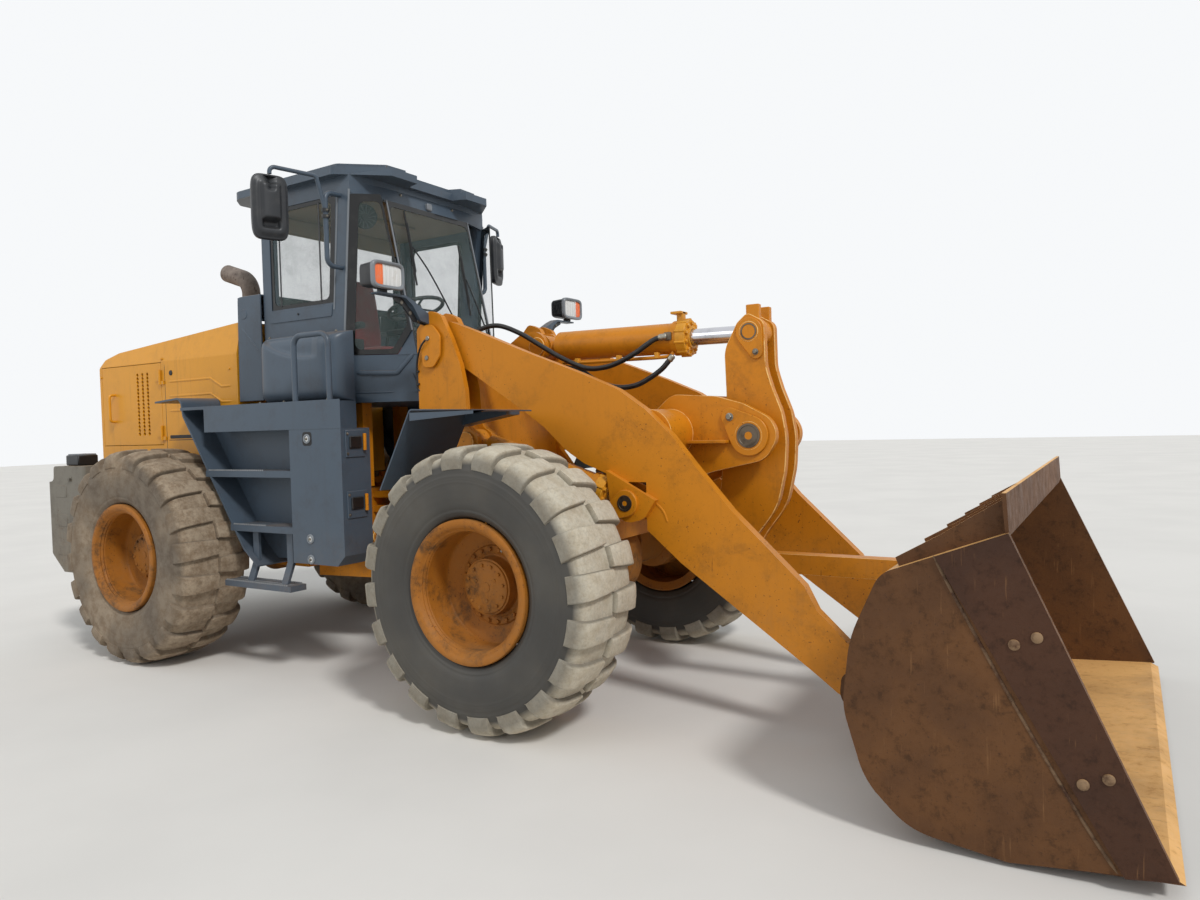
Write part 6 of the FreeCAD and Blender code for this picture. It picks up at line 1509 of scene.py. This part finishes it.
class LOADER_OT_linkage(bpy.types.Operator):
    """Add pins, keeper plates, cylinder heads and hydraulic lines to the boom and its cylinders"""
    bl_idname = "loader.linkage"
    bl_label = "Linkage detail"

    def execute(self, context):
        rocker = Bundle()
        add_keeper(rocker, (*ROCKER_TOP, 0.083), (1.985, 2.092, 0.042), -0.112, -1)
        add_box(rocker, (1.925, -0.110, 2.27), (2.005, -0.066, 2.375), "boom_paint", 0.004, 0.2)
        add_keeper(rocker, (*ROCKER_LOW, 0.080), (1.80, 0.915, 0.040), -0.112, -1)
        both_sides(rocker).build("rocker_pins", "rocker", "boom_paint", 35.0)

        boom = Bundle()
        add_keeper(boom, (*ROCKER_PIVOT, 0.118), (1.868, 1.712, 0.055), -0.2435, -1, 0.014, bolt=0.018)
        add_box(boom, (1.57, -0.31, 1.560), (1.86, -0.2395, 1.578), "boom_paint", 0.003, 0.4)
        add_keeper(boom, (*LIFT_EYE, 0.078), (1.262, 1.168, 0.040), -0.636, -1, 0.0165)
        weld = [(x, -ARM_FACE, z) for x, z in ((1.22, 1.395), (1.33, 1.335), (1.46, 1.29), (1.58, 1.20), (1.62, 1.12))]
        add_ridge(boom, eased(weld, 6), -Y_AXIS, 0.008, 0.005, "boom_paint", 0.3)
        both_sides(boom).build("boom_pins", "boom", "boom_paint", 35.0)

        tower = Bundle()
        keeper = round_outline([(-0.142, 2.375, 0.05), (-0.03, 2.375, 0.06), (0.035, 2.30, 0.06), (0.03, 2.17, 0.07),
                                (-0.03, 2.095, 0.05), (-0.125, 2.095, 0.04)], 6)
        add_side_plate(tower, keeper, -TOWER_FACE - 0.0135, -1, 0.012, "boom_paint", 0.003, 0.3)
        face = -TOWER_FACE - 0.0255
        bolts(tower, [(-0.071, face + 0.012, 2.287), (-0.084, face + 0.012, 2.160)], -Y_AXIS, 0.017, "bolt_steel")
        grease = [(-0.075, face - 0.020, 2.275), (-0.115, face - 0.020, 2.235), (-0.172, -TOWER_FACE - 0.02, 2.16),
                  (-0.195, -TOWER_FACE - 0.008, 2.06), (-0.193, -TOWER_FACE - 0.006, 1.97),
                  (-0.180, -TOWER_FACE + 0.006, 1.945)]
        tower.add(*tube(eased(grease, 8), 0.0065, 8), "hose_rubber")
        for z in (1.985, 2.07):
            add_box(tower, (-0.200, -TOWER_FACE - 0.013, z), (-0.176, -TOWER_FACE + 0.001, z + 0.014), "dark_trim",
                    0.002)
        bolts(tower, [(LIFT_BASE[0], -TOWER_FACE - 0.003, LIFT_BASE[1] - 0.11)], -Y_AXIS, 0.014, "bolt_steel")
        both_sides(tower).build("tower_pins", "front_frame", "boom_paint", 35.0)

        gland = Bundle()
        add_gland(gland, TILT_BASE, ROCKER_TOP, 0.0, 1.10, 0.098, 0.052, 10)
        add_box(gland, (1.425, -0.022, 2.318), (1.470, 0.022, 2.388), "gland_paint", 0.004, 0.3)
        add_box(gland, (1.395, -0.050, 2.372), (1.470, 0.050, 2.388), "gland_paint", 0.003, 0.3)
        for x in (0.70, 1.02, 1.30):
            add_box(gland, (x, -0.103, 2.096), (x + 0.028, -0.066, 2.135), "gland_paint", 0.003, 0.2)
        pipe = [(0.60, -0.088, 2.115), (0.75, -0.088, 2.106), (1.05, -0.088, 2.104), (1.32, -0.088, 2.102),
                (1.40, -0.080, 2.108), (1.425, -0.075, 2.13)]
        gland.add(*tube(eased(pipe, 8), 0.012, 10), "boom_paint")
        gland.add(*squared_loft([(0.0, 0.026, 0.026), (0.022, 0.026, 0.026), (0.026, 0.020, 0.020)],
                                (-Y_AXIS, X_AXIS, Z_AXIS), (1.405, -0.096, 2.228), 6.0, 20), "pin_steel")
        gland.build("tilt_cylinder_head", "tilt_barrel", "boom_paint", 35.0)
        for side, word in ((-1, "right"), (1, "left")):
            head = Bundle()
            add_gland(head, LIFT_BASE, LIFT_EYE, side * ARM_Y, 1.04, 0.085, 0.042, 8)
            head.build("lift_cylinder_head_" + word, "lift_barrel_" + word, "boom_paint", 35.0)

        hoses = Bundle()
        upper = [(-0.16, -0.235, 2.28), (-0.03, -0.20, 2.375), (0.111, -0.165, 2.398), (0.283, -0.150, 2.335),
                 (0.448, -0.145, 2.241), (0.609, -0.142, 2.149), (0.805, -0.140, 2.065), (0.959, -0.140, 2.060),
                 (1.088, -0.140, 2.094), (1.199, -0.140, 2.143), (1.262, -0.138, 2.180), (1.330, -0.130, 2.216),
                 (1.40, -0.114, 2.229)]
        lower = [(0.30, -0.12, 2.10), (0.50, -0.115, 2.10), (0.74, -0.110, 2.055), (0.84, -0.108, 1.995),
                 (0.939, -0.106, 1.949), (1.051, -0.104, 1.925), (1.167, -0.102, 1.935), (1.270, -0.100, 1.978),
                 (1.346, -0.098, 2.024), (1.390, -0.094, 2.066), (1.425, -0.085, 2.110)]
        add_hose(hoses, upper)
        add_hose(hoses, lower)
        lines = hoses.build("tilt_hoses", None, "black_plastic", 50.0)
        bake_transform(lines)
        return {"FINISHED"}


# Decks, steps, hood and rear

def add_gauge(bundle, x, z, level, radius=0.033):
    """Round sight glass in a bolted ring on the tank's outer face."""
    ring = [(-0.001, radius), (0.006, radius * 0.97), (0.010, radius * 0.85), (0.010, radius * 0.62),
            (0.005, radius * 0.55)]
    bundle.add(*turned(ring, (x, level, z), -Y_AXIS, 28), "pale_trim", 0.3)
    bundle.add(*turned([(0.004, radius * 0.57), (0.0065, radius * 0.40), (0.008, 0.0)], (x, level, z), -Y_AXIS, 20),
               "clear_lens")
    bolts(bundle, [(x, level - 0.008, z)], -Y_AXIS, radius * 0.22, "bolt_steel")


def add_teeth(bundle, x0, x1, y, z, finish):
    """Row of cut teeth along a step's front lip."""
    pitch = 0.020
    for k in range(int((x1 - x0) / pitch)):
        x = x0 + k * pitch
        add_box(bundle, (x, y, z - 0.004), (x + pitch * 0.55, y + 0.012, z + 0.009), finish, 0.002, 0.7)


class LOADER_OT_decks(bpy.types.Operator):
    """Add step teeth, gauges, brackets and mats to the decks and tanks"""
    bl_idname = "loader.decks"
    bl_label = "Decks and steps"

    def execute(self, context):
        half = Bundle()
        face = -DECK_Y + 0.002
        for z in (1.648, 0.979, 0.841):
            add_gauge(half, -0.805, z, face)
        add_side_plate(half, round_outline([(-0.850, 1.602, 0.02), (-0.760, 1.602, 0.02), (-0.760, 1.694, 0.02),
                                            (-0.850, 1.694, 0.02)], 4), face, -1, 0.0012, "black_rubber", 0.0005)
        for x0, x1, z in ((-1.905, -1.26, 1.432), (-1.64, -1.24, 1.048)):
            add_teeth(half, x0, x1, face, z, "step_steel")
        add_teeth(half, -1.625, -0.955, -1.149, 0.660, "step_steel")
        add_teeth(half, -1.625, -0.955, -1.034, 0.660, "step_steel")
        for y in (-1.115, -1.08):
            add_ridge(half, dense([(-1.62, y, 0.660), (-0.955, y, 0.660)], 0.1), Z_AXIS, 0.006, 0.005, "step_steel",
                      0.6)
        for z in (1.600, 1.200):
            add_box(half, (-0.4825, -1.045, z - 0.08), (-0.4745, -0.875, z + 0.10), "slate_paint", 0.004, 0.1)
            add_box(half, (-0.4750, -1.020, z - 0.02), (-0.4600, -0.915, z + 0.06), "dark_trim", 0.006)
            half.add(*turned([(-0.055, 0.012), (0.055, 0.012)], (-0.462, -0.893, z + 0.02), Z_AXIS, 12), "boom_paint")
            bolts(half, [(-0.4745, -1.03, z + 0.075), (-0.4745, -1.03, z - 0.055)], X_AXIS, 0.007, "bolt_steel")
        tread = Bundle()
        for i in range(30):
            for j in range(6):
                x, y = -1.86 + i * 0.045, -1.04 + j * 0.048 + 0.024 * (i % 2)
                if x > -0.95 and y < -0.99 or x > -0.72 or y > -0.77 or -1.60 < x < -0.70 and y > -0.92:
                    continue
                lean = 0.012 if (i + j) % 2 else -0.012
                tread.add(*ridge([(x - 0.012, y - lean, DECK_TOP), (x, y, DECK_TOP), (x + 0.012, y + lean, DECK_TOP)],
                                 Z_AXIS, 0.004, 0.0025, 4), "step_steel", 0.3)
        half.twin_from(tread, flip=False)
        for x in (-1.30, -1.05, -0.62):
            bolts(half, [(x, -1.055, DECK_TOP)], Z_AXIS, 0.008, "bolt_steel")
        both_sides(half).build("deck_detail", "root", "slate_paint", 35.0)
        return {"FINISHED"}


class LOADER_OT_hood_detail(bpy.types.Operator):
    """Add pressed ridges, latches, seams and the tow pin to the hood and counterweight"""
    bl_idname = "loader.hood_detail"
    bl_label = "Hood and rear detail"

    def execute(self, context):
        half = Bundle()
        y = -HOOD_Y
        for z in (1.90, 2.02, 2.14):
            path = [(-2.86, y, z), (-2.30, y, z), (-2.16, y, z - 0.07), (-2.04, y, z - 0.07)]
            add_ridge(half, dense(path), -Y_AXIS, 0.010, 0.006, "hood_paint", 0.15)
        add_ridge(half, dense([(-2.905, y, 1.42), (-2.905, y, 2.30)]), -Y_AXIS, 0.0035, 0.0018, "black_rubber")
        add_ridge(half, dense([(-2.90, y, 1.66), (-2.02, y, 1.66)]), -Y_AXIS, 0.0035, 0.0018, "black_rubber")
        add_side_plate(half, round_outline([(-2.86, 1.672, 0.008), (-2.50, 1.672, 0.008), (-2.50, 1.70, 0.008),
                                            (-2.86, 1.70, 0.008)], 3), y, -1, 0.003, "black_rubber")
        half.add(*turned([(0.0, 0.022), (0.005, 0.020), (0.006, 0.0)], (-2.818, y, 2.210), -Y_AXIS, 18), "black_rubber")
        for x, z in ((-2.055, 1.45), (-2.055, 2.20), (-3.845, 1.45), (-3.845, 2.22), (-2.94, 2.33)):
            bolts(half, [(x, y, z)], -Y_AXIS, 0.008, "hood_paint")
        bundle = both_sides(half)
        for x in np.linspace(-3.70, -3.10, 9):
            add_ridge(bundle, dense([(x, -0.34, hood_top(x)), (x, 0.34, hood_top(x))], 0.1), Z_AXIS, 0.012, 0.007,
                      "black_rubber", 0.1)
        bundle.build("hood_detail", "root", "yellow_paint", 35.0)

        rear = Bundle()
        for sign in (-1, 1):
            for z in (0.78, 1.02, 1.26):
                add_side_plate(rear, round_outline([(-3.80, z - 0.05, 0.02), (-3.62, z - 0.05, 0.02),
                                                    (-3.62, z + 0.05, 0.02), (-3.80, z + 0.05, 0.02)], 4),
                               sign * 1.199, sign, 0.004, "grey_paint", 0.002, 0.2)
            bolts(rear, [(-3.55, sign * 1.20, z) for z in (0.76, 1.36)], (0, sign, 0), 0.016, "bolt_steel")
        pin = (-3.9295, 0.0)
        rear.add(*turned([(0.80, 0.0), (0.80, 0.018), (0.812, 0.0235), (1.035, 0.0235), (1.036, 0.040), (1.050, 0.042),
                          (1.055, 0.036), (1.055, 0.0)], (*pin, 0.0), Z_AXIS, 24), "pin_steel")
        loop = [(pin[0], 0.014 * k, 1.055 + 0.05 * (1 - (k / 3) ** 2)) for k in range(-3, 4)]
        rear.add(*tube(eased(loop, 4), 0.006, 8), "pin_steel")
        rear.build("tow_pin_and_plates", "root", "pin_steel", 35.0)
        return {"FINISHED"}


def hood_top(x):
    """Height of the hood's top along its length."""
    return float(np.interp(x, [-3.8725, -3.7975, -3.5975, -2.7125, -1.9625], [2.30, 2.373, 2.423, 2.493, 2.558]))


class LOADER_OT_bucket_detail(bpy.types.Operator):
    """Bolt the side cutters on and add weld seams to the bucket"""
    bl_idname = "loader.bucket_detail"
    bl_label = "Bucket detail"

    def execute(self, context):
        half = Bundle()
        face = -1.5035
        for x, z in ((3.562, 0.876), (3.487, 0.842), (3.702, 0.367), (3.781, 0.400)):
            head = [(-0.001, 0.021), (0.005, 0.020), (0.009, 0.014), (0.010, 0.0)]
            half.add(*turned(head, (x, face, z), -Y_AXIS, 18), "bucket_cutter", 0.5)
        seam = [(3.2155, 1.151), (3.33, 0.92), (3.52, 0.56), (3.70, 0.24), (3.81, 0.066)]
        seam = [(x - 0.006, -1.4895, z) for x, z in seam]
        add_ridge(half, eased(seam, 6), -Y_AXIS, 0.007, 0.006, "bucket_cutter", 0.3)
        both_sides(half).build("bucket_bolts", "bucket", "bucket_steel", 35.0)
        return {"FINISHED"}


# Stage

SUNS = (("key", (9.0, -5.0, 10.0), 1.75, 9.0), ("fill", (-6.0, -9.0, 5.0), 0.35, 30.0))  # from, strength, spread
SOFT_LIGHT = ((0.90, 0.95, 1.0, 1.0), 0.62)
BACKDROP = (0.93, 0.945, 0.96, 1.0)
FLOOR_HALF = 60.0
CAMERA_AT = (3.8405, -4.939, 1.6885)
CAMERA_TURN = (31.470, -1.692, -1.604)   # yaw, pitch and roll in degrees
CAMERA_LENS = 25.78


class LOADER_OT_stage(bpy.types.Operator):
    """Lay the floor and backdrop, and set the lights and the camera"""
    bl_idname = "loader.stage"
    bl_label = "Stage"

    def execute(self, context):
        scene = context.scene
        scene.view_settings.view_transform = "Standard"
        mesh = bpy.data.meshes.new("studio_floor")
        corners = FLOOR_HALF * np.array([(-1, -1, 0), (1, -1, 0), (1, 1, 0), (-1, 1, 0)])
        mesh.from_pydata(corners.tolist(), [], [(0, 1, 2, 3)])
        mesh.materials.append(studio_floor())
        ground = bpy.data.objects.new("studio_floor", mesh)
        scene.collection.objects.link(ground)
        world = bpy.data.worlds.new("studio")
        scene.world = world
        world.use_nodes = True
        tree = world.node_tree
        tree.nodes.clear()
        path = node(tree, "LightPath")
        seen = larger(tree, path.outputs["Is Camera Ray"],
                      larger(tree, path.outputs["Is Glossy Ray"], path.outputs["Is Transmission Ray"]))
        soft = node(tree, "Background", {"Color": SOFT_LIGHT[0], "Strength": SOFT_LIGHT[1]})
        plain = node(tree, "Background", {"Color": BACKDROP, "Strength": 1.0})
        blend = node(tree, "MixShader", {0: seen, 1: soft.outputs[0], 2: plain.outputs[0]})
        wired(tree.nodes.new("ShaderNodeOutputWorld"), {"Surface": blend.outputs[0]})
        for name, place, strength, spread in SUNS:
            light = bpy.data.lights.new(name, "SUN")
            light.energy = strength
            light.angle = radians(spread)
            lamp = bpy.data.objects.new(name, light)
            lamp.rotation_mode = "QUATERNION"
            lamp.rotation_quaternion = Vector(place).to_track_quat("Z", "Y")
            scene.collection.objects.link(lamp)
        camera_data = bpy.data.cameras.new("camera")
        camera_data.lens = CAMERA_LENS
        camera_data.sensor_width = 36.0
        camera_data.clip_end = 200.0
        camera = bpy.data.objects.new("camera", camera_data)
        yaw, pitch, roll = (radians(angle) for angle in CAMERA_TURN)
        ahead = Vector((-sin(yaw) * cos(pitch), cos(yaw) * cos(pitch), sin(pitch)))
        level = Vector((cos(yaw), sin(yaw), 0.0))
        upright = level.cross(ahead)
        right = level * cos(roll) + upright * sin(roll)
        up = -level * sin(roll) + upright * cos(roll)
        turn = Matrix((right, up, -ahead)).transposed().to_4x4()
        camera.matrix_world = Matrix.Translation(CAMERA_AT) @ turn
        scene.collection.objects.link(camera)
        scene.camera = camera
        return {"FINISHED"}


def studio_floor():
    """Pale floor with faint clouding."""
    material, tree, shader = fresh_material("studio_floor")
    clouds = ramped(tree, noise(tree, here(tree), 0.6, 4.0), 0.3, 0.7)
    base = tints().floor
    wired(shader, {"Base Color": mixed(tree, clouds, linear(base), linear([c * 0.975 for c in base])),
                   "Roughness": 0.9})
    return material


class LOADER_PT_panel(bpy.types.Panel):
    """Sizes and colours, and a button for each group of pieces"""
    bl_idname = "LOADER_PT_panel"
    bl_label = "Wheel Loader"
    bl_space_type = "VIEW_3D"
    bl_region_type = "UI"
    bl_category = "Loader"

    def draw(self, context):
        for group_name in ("loader_sizes", "loader_colours"):
            settings = getattr(context.scene, group_name)
            for key in settings.__annotations__:
                self.layout.prop(settings, key)
        for step in STEPS:
            self.layout.operator(step.bl_idname)


STEPS = [LOADER_OT_stage, LOADER_OT_steelwork, LOADER_OT_wheels, LOADER_OT_cab, LOADER_OT_mirrors_lamps,
         LOADER_OT_linkage, LOADER_OT_decks, LOADER_OT_hood_detail, LOADER_OT_bucket_detail]
CLASSES = [LoaderColours, LoaderSizes, LOADER_PT_panel]


def register():
    for cls in CLASSES + STEPS:
        bpy.utils.register_class(cls)
    bpy.types.Scene.loader_colours = PointerProperty(type=LoaderColours)
    bpy.types.Scene.loader_sizes = PointerProperty(type=LoaderSizes)


def unregister():
    del bpy.types.Scene.loader_sizes
    del bpy.types.Scene.loader_colours
    for cls in reversed(CLASSES + STEPS):
        bpy.utils.unregister_class(cls)


def main():
    register()
    for step in STEPS:
        group_name, operator = step.bl_idname.split(".")
        getattr(getattr(bpy.ops, group_name), operator)()


if __name__ == "__main__":
    main()
